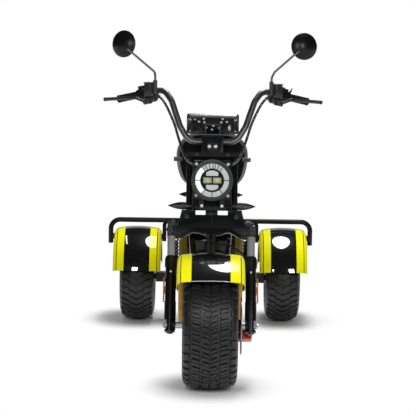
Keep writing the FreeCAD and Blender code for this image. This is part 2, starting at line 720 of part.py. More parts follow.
def grips():
    """Two ribbed rubber grips with closed ends."""
    _, length = grip_frame()
    start = length - GRIP_LENGTH
    solid = rod(vec(start, 0, 0), vec(length + 4, 0, 0), GRIP_R)
    flange = rod(vec(start, 0, 0), vec(start + 5, 0, 0), GRIP_R + 4)
    grip = join([solid, flange])
    wide, deep = GRIP_GROOVE
    pitch = (GRIP_LENGTH - 24) / GRIP_GROOVES
    for index in range(GRIP_GROOVES):
        x = start + 14 + index * pitch
        band = rod(vec(x, 0, 0), vec(x + wide, 0, 0), GRIP_R + 2)
        grip = grip.cut(band.cut(rod(vec(x, 0, 0), vec(x + wide, 0, 0), GRIP_R - deep)))
    return on_bar(grip.cut(rod(vec(start - 1, 0, 0), vec(length + SEAT_FIT, 0, 0), BAR_R + SEAT_FIT)))


def switch_housings():
    """The switch housings inboard of the grips, with their buttons."""
    _, length = grip_frame()
    outer = length - GRIP_LENGTH - 1
    inner = outer - SWITCH_W
    shell = rod(vec(inner, 0, 0), vec(outer, 0, 0), SWITCH_R)
    pod = box(vec(inner + 3, -SWITCH_R - 6, -16), vec(outer - 3, 0, 14))
    pod = pod.makeFillet(5, pod.Edges)
    button = rod(vec(inner + 12, 0, 0), vec(inner + 12, -4, SWITCH_R + 8), 4.5)
    toggle = rod(vec(inner + 26, 0, 0), vec(inner + 26, -8, SWITCH_R + 6), 3.5)
    housing = join([shell, pod, button, toggle])
    return on_bar(housing.cut(rod(vec(inner - 1, 0, 0), vec(outer + 1, 0, 0), BAR_R + SEAT_FIT)))


def cylinder_place():
    """The bar end's frame and how far along it the brake cylinder starts."""
    placement, length = grip_frame()
    return placement, length - GRIP_LENGTH - SWITCH_W - 4 - CYLINDER_W


def upright_place():
    """An upright frame on the left bar end at the brake cylinder: X outwards and level, -Y forwards."""
    placement, inner = cylinder_place()
    outward = up(*BAR_END).sub(up(*BAR_SHOULDER))
    turn = math.degrees(math.atan2(outward.y, outward.x))
    middle = placement.multVec(vec(inner + CYLINDER_W / 2, 0, 0))
    return FreeCAD.Placement(middle, FreeCAD.Rotation(Z_AXIS, turn))


def brake_cylinders():
    """The brake master cylinders: reservoir, clamp ring, hose outlet and mirror boss."""
    _, inner = cylinder_place()
    outer = inner + CYLINDER_W
    ring = rod(vec(inner + 6, 0, 0), vec(inner + 32, 0, 0), BAR_R + 7)
    neck = box(vec(inner + 8, -30, -12), vec(inner + 30, 0, 12))
    barrel = rod(vec(inner - 12, -36, -20), vec(outer + 6, -36, -20), 10)
    arm = box(vec(inner - 8, -30, -9), vec(inner + 12, -17, 11))
    placement, _ = grip_frame()
    solids = []
    for piece in (ring, neck, barrel, arm):
        piece.Placement = placement.multiply(piece.Placement)
        solids.append(piece)
    half = CYLINDER_W / 2
    tank = box(vec(-half, -54, -19), vec(half, -20, 34))
    tank = tank.makeFillet(6, [e for e in tank.Edges if abs(e.tangentAt(0).z) > 0.9])
    lid = box(vec(-half - 1.5, -55.5, 34), vec(half + 1.5, -18.5, 41))
    lid = lid.makeFillet(6, [e for e in lid.Edges if abs(e.tangentAt(0).z) > 0.9])
    boss = rod(vec(-half - 3, -21, -6), vec(-half - 3, -21, MIRROR_FOOT), 8)
    for piece in (tank, lid, boss):
        piece.Placement = upright_place().multiply(piece.Placement)
        solids.append(piece)
    bore = rod(vec(inner - 40, 0, 0), vec(outer + 1, 0, 0), BAR_R + SEAT_FIT)
    bore.Placement = placement.multiply(bore.Placement)
    return both_sides(join(solids).cut(bore))


def brake_levers():
    """The brake levers, from under the cylinders out past the grips, with ball ends."""
    _, length = grip_frame()
    outer = length - GRIP_LENGTH - SWITCH_W - 4
    root = vec(outer - 4, -54, -34)
    knee = vec(outer + 34, -62, -10)
    tip = vec(length + 32, -46, 8)
    blade = bent_tube([root, knee, tip], 24, LEVER_R)
    pivot = box(vec(outer - 18, -60, -40), vec(outer, -30, -30.5))
    ball = Part.makeSphere(LEVER_R + 3, tip)
    return on_bar(join([blade, pivot, ball]))


def mirrors():
    """The round mirror heads on their bent stalks, screwed into the cylinder bosses."""
    left, right = MIRROR_TURNS
    return Part.makeCompound([mirror(left), mirrored(mirror(right))])


def mirror(turn):
    """One mirror of the left side, its head turned outwards by an angle."""
    boss_x = -CYLINDER_W / 2 - 3
    foot = upright_place().multVec(vec(boss_x, -21, MIRROR_FOOT))
    neck = upright_place().multVec(vec(boss_x, -21, MIRROR_FOOT + 14))
    end = mirror_placement(turn).multVec(vec(-0.55 * MIRROR_R, -8, -0.38 * MIRROR_R))
    stalk = bent_tube([foot, neck, up(*MIRROR_KINK), end], 18, MIRROR_STALK_R)
    head = Part.makeSphere(MIRROR_R * 1.45, vec(0, 0, 0))
    offset = math.sqrt((MIRROR_R * 1.45) ** 2 - MIRROR_R ** 2)
    head.translate(vec(0, offset + 3, 0))
    keep = Part.makeCylinder(MIRROR_R, 2 * MIRROR_DEPTH, vec(0, -2 * MIRROR_DEPTH + 8, 0), Y_AXIS)
    head = head.common(keep)
    recess = Part.makeCylinder(MIRROR_R - 3, 4, vec(0, 4, 0), Y_AXIS)
    head = head.cut(recess)
    head.Placement = mirror_placement(turn)
    return join([stalk, head])


def mirror_placement(turn):
    """Where the left mirror head sits: turned outwards and tipped back."""
    rotation = FreeCAD.Rotation(Z_AXIS, turn).multiply(FreeCAD.Rotation(X_AXIS, -6))
    return FreeCAD.Placement(up(*MIRROR_CENTRE), rotation)


def mirror_glass():
    """The glass discs in the mirror heads, facing the rider."""
    discs = []
    for turn in MIRROR_TURNS:
        glass = Part.makeCylinder(MIRROR_R - 3 - SEAT_FIT, 3, vec(0, 4 + SEAT_FIT, 0), Y_AXIS)
        glass.Placement = mirror_placement(turn)
        discs.append(glass)
    return Part.makeCompound([discs[0], mirrored(discs[1])])


def tilted_to_dash(shape):
    """Moves a shape drawn flat, screen up and top edge forward, to the dash's place."""
    behind, height = DASH_CENTRE
    shape.Placement = FreeCAD.Placement(up(0, behind, height), FreeCAD.Rotation(X_AXIS, -(90 - DASH_TILT)))
    return shape


def dash():
    """The wide display's housing with a recess for its screen."""
    wide, tall, deep = DASH_SIZE
    body = box(vec(-wide / 2, -tall / 2, -deep / 2), vec(wide / 2, tall / 2, deep / 2))
    body = body.makeFillet(13, [e for e in body.Edges if abs(e.tangentAt(0).z) > 0.9])
    recess = box(vec(-wide / 2 + 9, -tall / 2 + 9, deep / 2 - 3), vec(wide / 2 - 9, tall / 2 - 9, deep / 2))
    body = body.cut(recess)
    for side in (-1, 1):
        low = vec(min(side * 36, side * (wide / 2 - 8)), -tall / 2 + 8, -deep / 2)
        high = vec(max(side * 36, side * (wide / 2 - 8)), tall / 2 - 8, -deep / 2 + 3)
        pocket = box(low, high)
        pocket = pocket.makeFillet(5, [e for e in pocket.Edges if abs(e.tangentAt(0).z) > 0.9])
        body = body.cut(pocket)
    bosses = [rod(vec(x, y, -deep / 2), vec(x, y, -deep / 2 + 4), 4.5) for x, y in DASH_BOSSES]
    return tilted_to_dash(join([body] + bosses))


def dash_screen():
    """The display's window."""
    wide, tall, deep = DASH_SIZE
    gap = 9 + SEAT_FIT
    low = vec(-wide / 2 + gap, -tall / 2 + gap, deep / 2 - 3)
    return tilted_to_dash(box(low, vec(wide / 2 - gap, tall / 2 - gap, deep / 2 - 1)))


def dash_bracket():
    """The folded bracket that carries the dash on top of the riser block."""
    bar_y, bar_z = bar_in_fork()
    wide, tall, deep = DASH_SIZE
    top = bar_z + 19
    foot_front = fork_point(-30, bar_y - 14, top)
    foot_rear = fork_point(-30, RISER_REAR - 4, top)
    behind, height = DASH_CENTRE
    place = FreeCAD.Placement(up(0, behind, height), FreeCAD.Rotation(X_AXIS, -(90 - DASH_TILT)))
    head_rear = place.multVec(vec(-30, 34, -deep / 2))
    head_front = place.multVec(vec(-30, -10, -deep / 2))
    web = prism([foot_front, foot_rear, head_rear, head_front], vec(4, 0, 0))
    back = tilted_to_dash(box(vec(-30, -10, -deep / 2 - 4), vec(30, 34, -deep / 2)))
    return join([back, web, mirrored(web)])


def lamp_origin():
    """The middle of the headlamp's front."""
    return up(0, LAMP_Y, LAMP_Z)


def headlight_housing():
    """The headlamp's bucket and bezel, turned about the fore-and-aft axis."""
    points = [
        vec(LAMP_R, 0, 0), vec(LAMP_R, 16, 0), vec(LAMP_BUCKET_R, 22, 0), vec(LAMP_BUCKET_R, 42, 0),
    ]
    back = [vec(30, LAMP_DEPTH, 0), vec(0, LAMP_DEPTH, 0)]
    rim = LAMP_RING_R + 1
    front = [vec(0, 12, 0), vec(rim, 12, 0), vec(rim, 3, 0), vec(rim + 5, 0, 0)]
    edges = [Part.makeLine(a, b) for a, b in zip(points, points[1:])]
    edges.append(Part.Arc(points[-1], vec(60, LAMP_DEPTH - 22, 0), back[0]).toShape())
    chain = back + front + [points[0]]
    edges += [Part.makeLine(a, b) for a, b in zip(chain, chain[1:])]
    bucket = Part.Face(Part.Wire(edges)).revolve(ORIGIN, Y_AXIS, FULL_TURN)
    bucket.translate(lamp_origin())
    return bucket


def ring_front(front):
    """The disc of space that the lamp's projectors stand out into."""
    return Part.makeCylinder(LAMP_CORE_R, 7, vec(0, front - 2, 0), Y_AXIS)


def headlight_lens():
    """The light ring and the round projector inside it, as one moulding."""
    front = 5 - SEAT_FIT
    ring = Part.makeCylinder(LAMP_RING_R, 7, vec(0, front, 0), Y_AXIS)
    groove = Part.makeCylinder(LAMP_CORE_R + 3, 4, vec(0, 4, 0), Y_AXIS)
    lens = ring.cut(groove)
    half = LAMP_SLOT / 2
    for angle in LAMP_SPLITS:
        slot = box(vec(LAMP_CORE_R, front - 1, -half), vec(LAMP_RING_R + 2, front + 3, half))
        lens = lens.cut(slot.rotate(ORIGIN, Y_AXIS, -angle))
    core = Part.makeCylinder(LAMP_CORE_R, 6, vec(0, 3, 0), Y_AXIS)
    core = core.cut(box(vec(-LAMP_CORE_R, 2, -LAMP_BAND / 2), vec(LAMP_CORE_R, 7, LAMP_BAND / 2)))
    lens = join([lens, core])
    for side in (-1, 1):
        ball = Part.makeSphere(PROJECTOR_R, vec(side * PROJECTOR_X, 13, 0))
        lens = join([lens, ball.common(ring_front(front))])
    lens.translate(lamp_origin())
    return lens


def headlight_bracket():
    """The square lamp plate with its arms to the uprights and the bar that carries the signals."""
    half = LAMP_PLATE / 2
    origin = lamp_origin()
    plate = box(vec(-half, 24, -half), vec(half, 29, half))
    plate = plate.makeFillet(14, [e for e in plate.Edges if abs(e.tangentAt(0).y) > 0.9])
    plate = plate.cut(Part.makeCylinder(LAMP_BUCKET_R + SEAT_FIT, 20, vec(0, 15, 0), Y_AXIS))
    side = UPRIGHT_X - UPRIGHT_R - SEAT_FIT
    arms = []
    for sign in (-1, 1):
        low = vec(min(sign * side, sign * (side - 4)), 24, -34)
        high = vec(max(sign * side, sign * (side - 4)), 150, 30)
        arms.append(box(low, high))
    upper = join([plate] + arms)
    upper.translate(origin)
    strip = box(up(-74, SIGNAL_Y + 14, SIGNAL_Z - 20), up(74, SIGNAL_Y + 18, LAMP_Z - half))
    neck_top = LAMP_Z - half + 12
    necks = []
    for sign in (-1, 1):
        low = up(min(sign * 30, sign * 50), LAMP_Y + 25, SIGNAL_Z - 8)
        high = up(max(sign * 30, sign * 50), LAMP_Y + 29, neck_top)
        necks.append(box(low, high))
        low = up(min(sign * 30, sign * 50), LAMP_Y + 25, SIGNAL_Z - 8)
        high = up(max(sign * 30, sign * 50), SIGNAL_Y + 16, SIGNAL_Z - 4)
        necks.append(box(low, high))
    return join([upper, strip] + necks)


def signal_pod(length, radius):
    """A leaf-shaped lamp, turned about its own length, along X from its inner tip."""
    share = ((0.0, 0.12), (0.1, 0.48), (0.28, 0.86), (0.5, 1.0), (0.74, 0.89), (0.93, 0.52), (1.0, 0.16))
    outline = [vec(length * along, 0, radius * out) for along, out in share]
    curve = Part.BSplineCurve()
    curve.interpolate(outline)
    foot = Part.makeLine(ORIGIN, outline[0])
    tip = Part.makeLine(outline[-1], vec(length, 0, 0))
    chord = Part.makeLine(vec(length, 0, 0), ORIGIN)
    return Part.Face(Part.Wire([foot, curve.toShape(), tip, chord])).revolve(ORIGIN, X_AXIS, FULL_TURN)


def front_signals():
    """The two front signals on short necks."""
    pod = signal_pod(SIGNAL_TIP - SIGNAL_INNER, SIGNAL_R)
    pod.translate(up(SIGNAL_INNER, SIGNAL_Y, SIGNAL_Z))
    neck = rod(up(SIGNAL_INNER + 10, SIGNAL_Y, SIGNAL_Z), up(SIGNAL_INNER + 10, SIGNAL_Y + 14, SIGNAL_Z), 4)
    return both_sides(join([pod, neck]))


def control_cables():
    """The wrapped looms beside the bar and the front brake hose down the left leg."""
    placement, inner = cylinder_place()
    loom = [
        placement.multVec(vec(inner - 12, -36, -20)), placement.multVec(vec(inner - 26, -36, -20)),
    ]
    loom += [up(*point) for point in LOOM_POINTS]
    hose_points = [fork_point(x, y, BRIDGE_LOW + z) for x, y, z in HOSE_TOP_POINTS]
    hose_points += [
        fork_point(LEG_X, 44, 200), fork_point(LEG_X, 40, 120), fork_point(LEG_X - 4, 62, 50),
        fork_point(LEG_X - 8, CALIPER_REACH, 6),
    ]
    looms = both_sides(bent_tube(loom, 60, LOOM_R))
    hose = bent_tube(hose_points, 60, HOSE_R).cut(front_caliper())
    return Part.makeCompound(looms.Solids + hose.Solids)


def head_centre(height):
    """A point on the steering axis at a height up the fork's frame."""
    return fork_point(0, FORK_OFFSET, height)


def hairpin(half):
    """The points of a tube that runs down one side, across and back along the other."""
    return [vec(-p.x, p.y, p.z) for p in reversed(half)] + half


def backbone(radius):
    """The tube from the head tube back under the tank, at any radius."""
    points = [head_centre(BRIDGE_HIGH + 108), at(0, TANK_FRONT + 70, BACKBONE_END[1]), at(0, *BACKBONE_END)]
    return bent_tube(points, 80, radius)


def main_frame():
    """Head tube, backbone and down tube, welded together."""
    low = head_centre(BRIDGE_HIGH + HEADSET_GAP)
    high = head_centre(CLAMP_LOW - HEADSET_GAP)
    head = rod(low, high, HEAD_TUBE_R)
    foot = BELLY_FRONT - DOWN_TUBE_R - 1
    points = [head_centre(BRIDGE_HIGH + 48), at(0, foot, BELLY_HIGH + 7), at(0, foot, CRADLE_Z)]
    down = bent_tube(points, 120, DOWN_TUBE_R)
    frame = join([head, backbone(MAIN_TUBE_R), down])
    bore = rod(head_centre(BRIDGE_HIGH), head_centre(CLAMP_LOW), STEM_R + RUNNING_FIT)
    return frame.cut(bore)


def rear_frame():
    """Lower cradle, seat rails and struts behind the belly housing."""
    front = BELLY_FRONT - DOWN_TUBE_R - 1
    low = CRADLE_Z
    rear = BELLY_REAR + RAIL_R + 16
    rail_start = BACKBONE_END[0] - 20
    solids = []
    half_cradle = [
        at(CRADLE_X, front, low), at(CRADLE_X, rear, low), at(CRADLE_X, rear + 20, 0.625 * RAIL_Z),
        at(RAIL_X, STRUT_Y + 60, RAIL_Z),
    ]
    solids.append(bent_tube(hairpin(half_cradle), 50, RAIL_R))
    half_rail = [
        at(14, rail_start, BACKBONE_END[1]), at(RAIL_X, rail_start + 70, RAIL_Z), at(RAIL_X, RAIL_END, RAIL_Z),
    ]
    solids.append(bent_tube(hairpin(half_rail), 60, RAIL_R))
    for side in (-1, 1):
        strut = [at(side * RAIL_X, WHEELBASE, RACK_Z + RACK_R - 2), at(side * RAIL_X, WHEELBASE, RAIL_Z)]
        solids.append(rod(strut[0], strut[1], RAIL_R - 2))
    shock_y, shock_z = SHOCK_TOP
    solids.append(rod(at(-SHOCK_X - 24, shock_y, shock_z), at(SHOCK_X + 24, shock_y, shock_z), 10))
    for side in (-1, 1):
        solids.append(rod(at(side * RAIL_X, shock_y, shock_z), at(side * RAIL_X, shock_y - 30, RAIL_Z), 8.5))
    pivot_y, pivot_z = PIVOT
    solids.append(rod(at(-ARM_X + 20, pivot_y, pivot_z), at(ARM_X - 20, pivot_y, pivot_z), 16))
    solids.append(rod(at(-RAIL_X, RAIL_END - 20, RAIL_Z), at(RAIL_X, RAIL_END - 20, RAIL_Z), 10))
    frame = join(solids)
    end_y, end_z = BACKBONE_END
    spine = rod(at(0, rail_start - 60, end_z), at(0, end_y + 0.2, end_z), MAIN_TUBE_R + SEAT_FIT)
    saddle = rod(at(0, front, low - SEAT_FIT), at(0, front, BELLY_HIGH), DOWN_TUBE_R + SEAT_FIT)
    return carve(frame, [spine, saddle])


def belly_outline(x, inset):
    """The belly housing's side view at a given X, drawn in by inset."""
    front = BELLY_FRONT + inset
    rear = BELLY_REAR - inset
    low = BELLY_LOW + inset
    high = BELLY_HIGH - inset
    return [
        at(x, front, low + 70), at(x, front + 50, low), at(x, rear - 60, low), at(x, rear, low + 60),
        at(x, rear, high - 110), at(x, rear - 140, high), at(x, front + 20, high), at(x, front, high - 18),
    ]


def belly_core():
    """The dark middle of the belly housing."""
    half = BELLY_W / 2 - BELLY_COVER_T
    core = prism(belly_outline(-half, 0), vec(2 * half, 0, 0))
    scoop = (half ** 2 * 0.3 + BELLY_DIP ** 2) / (2 * BELLY_DIP)
    crown = BELLY_HIGH - BELLY_DIP + scoop
    return core.cut(rod(at(0, BELLY_FRONT - 1, crown), at(0, BELLY_REAR + 1, crown), scoop))


def belly_covers():
    """The two coloured side covers of the belly housing, rounded along their outer edges."""
    inner = BELLY_W / 2 - BELLY_COVER_T
    cover = prism(belly_outline(inner, 0), vec(BELLY_COVER_T, 0, 0))
    rims = [e for e in cover.Edges if e.CenterOfMass.x > BELLY_W / 2 - 0.01]
    return both_sides(cover.makeFillet(14, rims))


def tank_section(share, half, low, top):
    """One station of the tank: flat underside, full flanks and a rounded top."""
    behind = TANK_FRONT + share * (TANK_REAR - TANK_FRONT)
    height = top - low
    shape = [
        (0.0, low), (0.55 * half, low), (0.80 * half, low + 0.06 * height),
        (0.97 * half, low + 0.32 * height), (half, low + 0.52 * height), (0.93 * half, low + 0.76 * height),
        (0.66 * half, low + 0.95 * height), (0.0, top),
    ]
    points = [at(x, behind, z) for x, z in shape]
    points += [at(-x, behind, z) for x, z in reversed(shape[1:-1])]
    curve = Part.BSplineCurve()
    curve.interpolate(points, PeriodicFlag=True)
    return Part.Wire(curve.toShape())


def tank():
    """The tank-shaped cover over the backbone, cut to the rake in front and open over the tube."""
    body = Part.makeLoft([tank_section(*station) for station in TANK_STATIONS], True, False)
    keep = in_fork(box(vec(-300, TANK_RAKE_GAP, 0), vec(300, 1600, 1400)))
    return body.common(keep).cut(backbone(MAIN_TUBE_R + SEAT_FIT))


def outermost(shape):
    """The solid that lies farthest from the centre plane."""
    return max(shape.Solids, key=lambda solid: abs(solid.CenterOfMass.x))


def tank_fittings():
    """The filler cap and the two side latches of the tank cover."""
    top_y = TANK_FRONT + TANK_STATIONS[2][0] * (TANK_REAR - TANK_FRONT)
    top_z = TANK_STATIONS[2][3]
    cap = rod(at(0, top_y, top_z - 2), at(0, top_y, top_z + 9), 30)
    rim = rod(at(0, top_y, top_z - 2), at(0, top_y, top_z + 4), 37)
    latch = box(at(LATCH_X - 34, LATCH_Y - 11, LATCH_Z - 8), at(LATCH_X, LATCH_Y + 11, LATCH_Z + 8))
    latch = latch.makeFillet(3, [e for e in latch.Edges if abs(e.tangentAt(0).x) > 0.9])
    body = tank()
    latches = [outermost(side.cut(body)) for side in (latch, mirrored(latch))]
    return Part.makeCompound([join([cap, rim]).cut(body)] + latches)


def seat():
    """The two-level seat cushion."""
    half = SEAT_W / 2
    tail = SEAT_TAIL_W / 2
    stations = (
        (SEAT_FRONT, 0.55 * half, SEAT_DRIVER_Z - 8), (SEAT_FRONT + 110, 0.86 * half, SEAT_DRIVER_Z - 4),
        (SEAT_FRONT + 240, half, SEAT_DRIVER_Z), (SEAT_FRONT + 320, half, SEAT_TAIL_Z - 10),
        (SEAT_FRONT + 420, tail + 8, SEAT_TAIL_Z), (SEAT_REAR, tail, SEAT_TAIL_Z - 14),
    )
    wires = []
    for behind, width, top in stations:
        low = SEAT_LOW + SEAT_BASE_T
        points = [
            at(-width, behind, low), at(width, behind, low), at(width, behind, top - 26),
            at(width - 30, behind, top), at(-width + 30, behind, top), at(-width, behind, top - 26),
        ]
        wires.append(Part.makePolygon(points + [points[0]]))
    return Part.makeLoft(wires, True, True)


def seat_base():
    """The seat's moulded base plate on the rails."""
    half = SEAT_TAIL_W / 2 - 6
    front = SEAT_FRONT + 50
    outline = [
        at(-60, front, SEAT_LOW), at(60, front, SEAT_LOW), at(half, front + 130, SEAT_LOW),
        at(half, SEAT_REAR - 6, SEAT_LOW), at(-half, SEAT_REAR - 6, SEAT_LOW),
        at(-half, front + 130, SEAT_LOW),
    ]
    return prism(outline, vec(0, 0, SEAT_BASE_T - 0.3))


def foot_boards():
    """The two running boards beside the belly housing, each on a folded bracket."""
    inner = BELLY_W / 2
    outer = inner + BOARD_W
    front = BELLY_FRONT + BOARD_SETBACK
    board = box(at(inner, front, BOARD_Z), at(outer, front + BOARD_LENGTH, BOARD_Z + BOARD_T))
    upright = [e for e in board.Edges if abs(e.tangentAt(0).z) > 0.9]
    board = board.makeFillet(14, [e for e in upright if e.CenterOfMass.x > inner + 5])
    web = [
        at(inner, front + 30, BOARD_Z), at(outer - 12, front + 30, BOARD_Z),
        at(inner, front + 30, BOARD_Z - 46),
    ]
    ribs = []
    for shift in (0.0, BOARD_LENGTH - 70):
        rib = prism(web, vec(0, 6, 0))
        rib.translate(vec(0, shift, 0))
        ribs.append(rib)
    wide, tall = BOARD_RIB
    pitch = (BOARD_W - 14) / BOARD_RIBS
    for index in range(BOARD_RIBS):
        x = inner + 8 + index * pitch
        top = BOARD_Z + BOARD_T
        ribs.append(box(at(x, front + 16, top - 1), at(x + wide, front + BOARD_LENGTH - 16, top + tall)))
    return both_sides(join([board] + ribs))


def axle_beam():
    """The square rear axle beam, bored at both ends for the wheel stubs, with its shock brackets."""
    half = BEAM / 2
    low = vec(-BEAM_W / 2, REAR_AXLE_Y - half, REAR_R - half)
    beam = box(low, vec(BEAM_W / 2, REAR_AXLE_Y + half, REAR_R + half))
    brackets = []
    for side in (-1, 1):
        x = side * SHOCK_X
        for shift in (-16, 10):
            low = vec(x + shift, REAR_AXLE_Y - 13, REAR_R + half)
            high = vec(x + shift + 6, REAR_AXLE_Y + 13, REAR_R + half + 40)
            brackets.append(box(low, high))
    beam = join([beam] + brackets)
    bores = []
    for side in (-1, 1):
        start = vec(side * (BEAM_W / 2 + 1), REAR_AXLE_Y, REAR_R)
        end = vec(side * (BEAM_W / 2 - STUB_LENGTH - 3), REAR_AXLE_Y, REAR_R)
        bores.append(rod(start, end, STUB_R + RUNNING_FIT))
        pin_y = REAR_AXLE_Y
        pin_z = REAR_R + half + 28
        start = vec(side * (SHOCK_X - 20), pin_y, pin_z)
        bores.append(rod(start, vec(side * (SHOCK_X + 20), pin_y, pin_z), 5))
    beam = carve(beam, bores)
    low = vec(-MOTOR_W / 2, REAR_AXLE_Y, REAR_R)
    return beam.cut(rod(low, vec(MOTOR_W / 2, REAR_AXLE_Y, REAR_R), MOTOR_R + SEAT_FIT))


def drive_motor():
    """The drive motor and differential in the middle of the rear axle."""
    drum = rod(vec(-MOTOR_W / 2, REAR_AXLE_Y, REAR_R), vec(MOTOR_W / 2, REAR_AXLE_Y, REAR_R), MOTOR_R)
    rims = [e for e in drum.Edges if isinstance(e.Curve, Part.Circle)]
    drum = drum.makeFillet(12, rims)
    fins = []
    for index in range(5):
        x = -MOTOR_W / 2 + 35 + index * (MOTOR_W - 70) / 4
        ring = Part.makeCylinder(MOTOR_R + 5, 5, vec(x - 2.5, REAR_AXLE_Y, REAR_R), X_AXIS)
        fins.append(ring)
    return join([drum] + fins)


def swingarm():
    """Two trailing arms from the pivot tube back to the axle beam."""
    pivot_y, pivot_z = PIVOT
    rear = WHEELBASE - BEAM / 2
    outline = [
        at(ARM_X - 9, pivot_y - 26, pivot_z - 22), at(ARM_X - 9, rear, REAR_R - 20),
        at(ARM_X - 9, rear, REAR_R + 20), at(ARM_X - 9, pivot_y - 26, pivot_z + 22),
    ]
    arm = prism(outline, vec(18, 0, 0))
    eye = rod(at(ARM_X - 19, pivot_y, pivot_z), at(ARM_X + 13, pivot_y, pivot_z), 26)
    return both_sides(join([arm, eye]))


def shock_absorbers():
    """The two rear dampers, each with a coil spring wound between its plates."""
    top_y, top_z = SHOCK_TOP
    low = at(SHOCK_X, WHEELBASE, REAR_R + BEAM / 2 + 28)
    high = at(SHOCK_X, top_y, top_z)
    run = high.sub(low)
    length = run.Length
    body = Part.makeCylinder(17, length * 0.5, vec(0, 0, 18))
    shaft = Part.makeCylinder(8, length - 18, vec(0, 0, 9))
    eyes = [rod(vec(-9.5, 0, 0), vec(9.5, 0, 0), 13), rod(vec(-10, 0, length), vec(10, 0, length), 17)]
    plates = [Part.makeCylinder(SPRING_R + 3, 6, vec(0, 0, height)) for height in (30, length - 36)]
    solid = join([body, shaft] + eyes + plates)
    lower_hole = rod(vec(-20, 0, 0), vec(20, 0, 0), 5.2)
    holes = [lower_hole, rod(vec(-20, 0, length), vec(20, 0, length), 10 + SEAT_FIT)]
    damper = carve(solid, holes)
    spring = coil_spring(36 + SEAT_FIT, length - 36 - SEAT_FIT)
    place = FreeCAD.Placement(low, FreeCAD.Rotation(Z_AXIS, run))
    for piece in (damper, spring):
        piece.Placement = place.multiply(piece.Placement)
    return Part.makeCompound([damper, spring, mirrored(damper), mirrored(spring)])


def coil_spring(low, high):
    """A round-wire spring between two heights, wound about Z."""
    wire = SPRING_WIRE_R
    radius = SPRING_R - wire
    height = high - low - 2 * wire
    helix = Part.makeHelix(height / SPRING_TURNS, height, radius)
    ring = Part.Wire(Part.makeCircle(wire, vec(radius, 0, 0), Y_AXIS))
    spring = Part.Wire(helix).makePipeShell([ring], True, True)
    spring.translate(vec(0, 0, low + wire))
    return spring


def rear_fenders():
    """The two rear fender shells."""
    shell = fender(REAR_FENDER_R, REAR_FENDER_W, REAR_FENDER_FORE, REAR_FENDER_AFT)
    shell.translate(vec(WHEEL_X, REAR_AXLE_Y, REAR_R))
    return both_sides(shell)


def fender_rack():
    """The tube over both rear fenders, its dropped ends and inner legs, and the tabs on the fenders."""
    y = WHEELBASE
    points = [
        at(-RACK_X, y, RACK_LOW), at(-RACK_X, y, RACK_Z), at(RACK_X, y, RACK_Z), at(RACK_X, y, RACK_LOW),
    ]
    solids = [bent_tube(points, RACK_BEND, RACK_R)]
    outer_face = WHEEL_X + REAR_FENDER_W / 2
    inner_face = WHEEL_X - REAR_FENDER_W / 2
    for side in (-1, 1):
        leg_x = side * RACK_DROP_X
        leg = [at(leg_x - 36 * side, y, RACK_Z), at(leg_x, y, RACK_Z - 8), at(leg_x, y, RACK_LOW + 10)]
        solids.append(bent_tube(leg, 30, RACK_R - 2))
        low = at(min(side * outer_face, side * RACK_X), y - 14, RACK_LOW + 20)
        high = at(max(side * outer_face, side * RACK_X), y + 14, RACK_LOW + 42)
        solids.append(box(low, high))
        low = at(min(side * RACK_DROP_X, side * inner_face), y - 14, RACK_LOW + 20)
        high = at(max(side * RACK_DROP_X, side * inner_face), y + 14, RACK_LOW + 42)
        solids.append(box(low, high))
    rack = join(solids)
    cuts = []
    for side in (-1, 1):
        low = at(side * RAIL_X, y, RACK_Z + RACK_R - 2)
        cuts.append(rod(low, at(side * RAIL_X, y, RAIL_Z), RAIL_R - 2 + 0.05))
    return carve(rack, cuts)


def tail_lamp():
    """The tail lamp behind the seat, rounded on every edge."""
    wide, deep, tall = TAIL_LAMP_SIZE
    lamp = box(at(-wide / 2, TAIL_Y, TAIL_LAMP_Z), at(wide / 2, TAIL_Y + deep, TAIL_LAMP_Z + tall))
    return lamp.makeFillet(9, lamp.Edges)


def rear_signals():
    """The two rear signals, level behind the seat."""
    pod = signal_pod(SIGNAL_TIP - SIGNAL_INNER, SIGNAL_R)
    pod.translate(at(REAR_SIGNAL_X, TAIL_Y + 14, REAR_SIGNAL_Z))
    return both_sides(pod)


def plate_holder():
    """The tail bracket: arm from the seat rails, lamp and signal mounts and the blank plate panel."""
    y = TAIL_Y
    back = box(at(-22, y - 6, PLATE_Z), at(22, y, RAIL_Z + RAIL_R - 2))
    cross = RAIL_END - 20
    arm = box(at(-26, cross, RAIL_Z - 8), at(26, y - 6, RAIL_Z + RAIL_R - 2))
    arm = arm.cut(rod(at(-30, cross, RAIL_Z), at(30, cross, RAIL_Z), 10 + SEAT_FIT))
    panel = box(at(-90, y, PLATE_Z - 64), at(90, y + 4, PLATE_Z + 64))
    panel = panel.makeFillet(8, [e for e in panel.Edges if abs(e.tangentAt(0).y) > 0.9])
    bar = rod(at(-REAR_SIGNAL_X - 8, y + 14, REAR_SIGNAL_Z), at(REAR_SIGNAL_X + 8, y + 14, REAR_SIGNAL_Z), 5)
    tab = box(at(-14, y - 2, REAR_SIGNAL_Z - 8), at(14, y + 18, REAR_SIGNAL_Z + 8))
    holder = join([back, arm, panel, bar, tab])
    holes = []
    for x in (-PLATE_HOLES[0] / 2, PLATE_HOLES[0] / 2):
        for z in (-PLATE_HOLES[1] / 2, PLATE_HOLES[1] / 2):
            holes.append(rod(at(x, y - 5, PLATE_Z + z), at(x, y + 9, PLATE_Z + z), PLATE_HOLE_R))
    holder = carve(holder, holes)
    pod = signal_pod(SIGNAL_TIP - SIGNAL_INNER, SIGNAL_R)
    pod.translate(at(REAR_SIGNAL_X, TAIL_Y + 14, REAR_SIGNAL_Z))
    return carve(holder, [pod, mirrored(pod)])


def placed(shape, x, y, z):
    """The shape moved to a wheel centre."""
    moved = shape.copy()
    moved.translate(vec(x, y, z))
    return moved


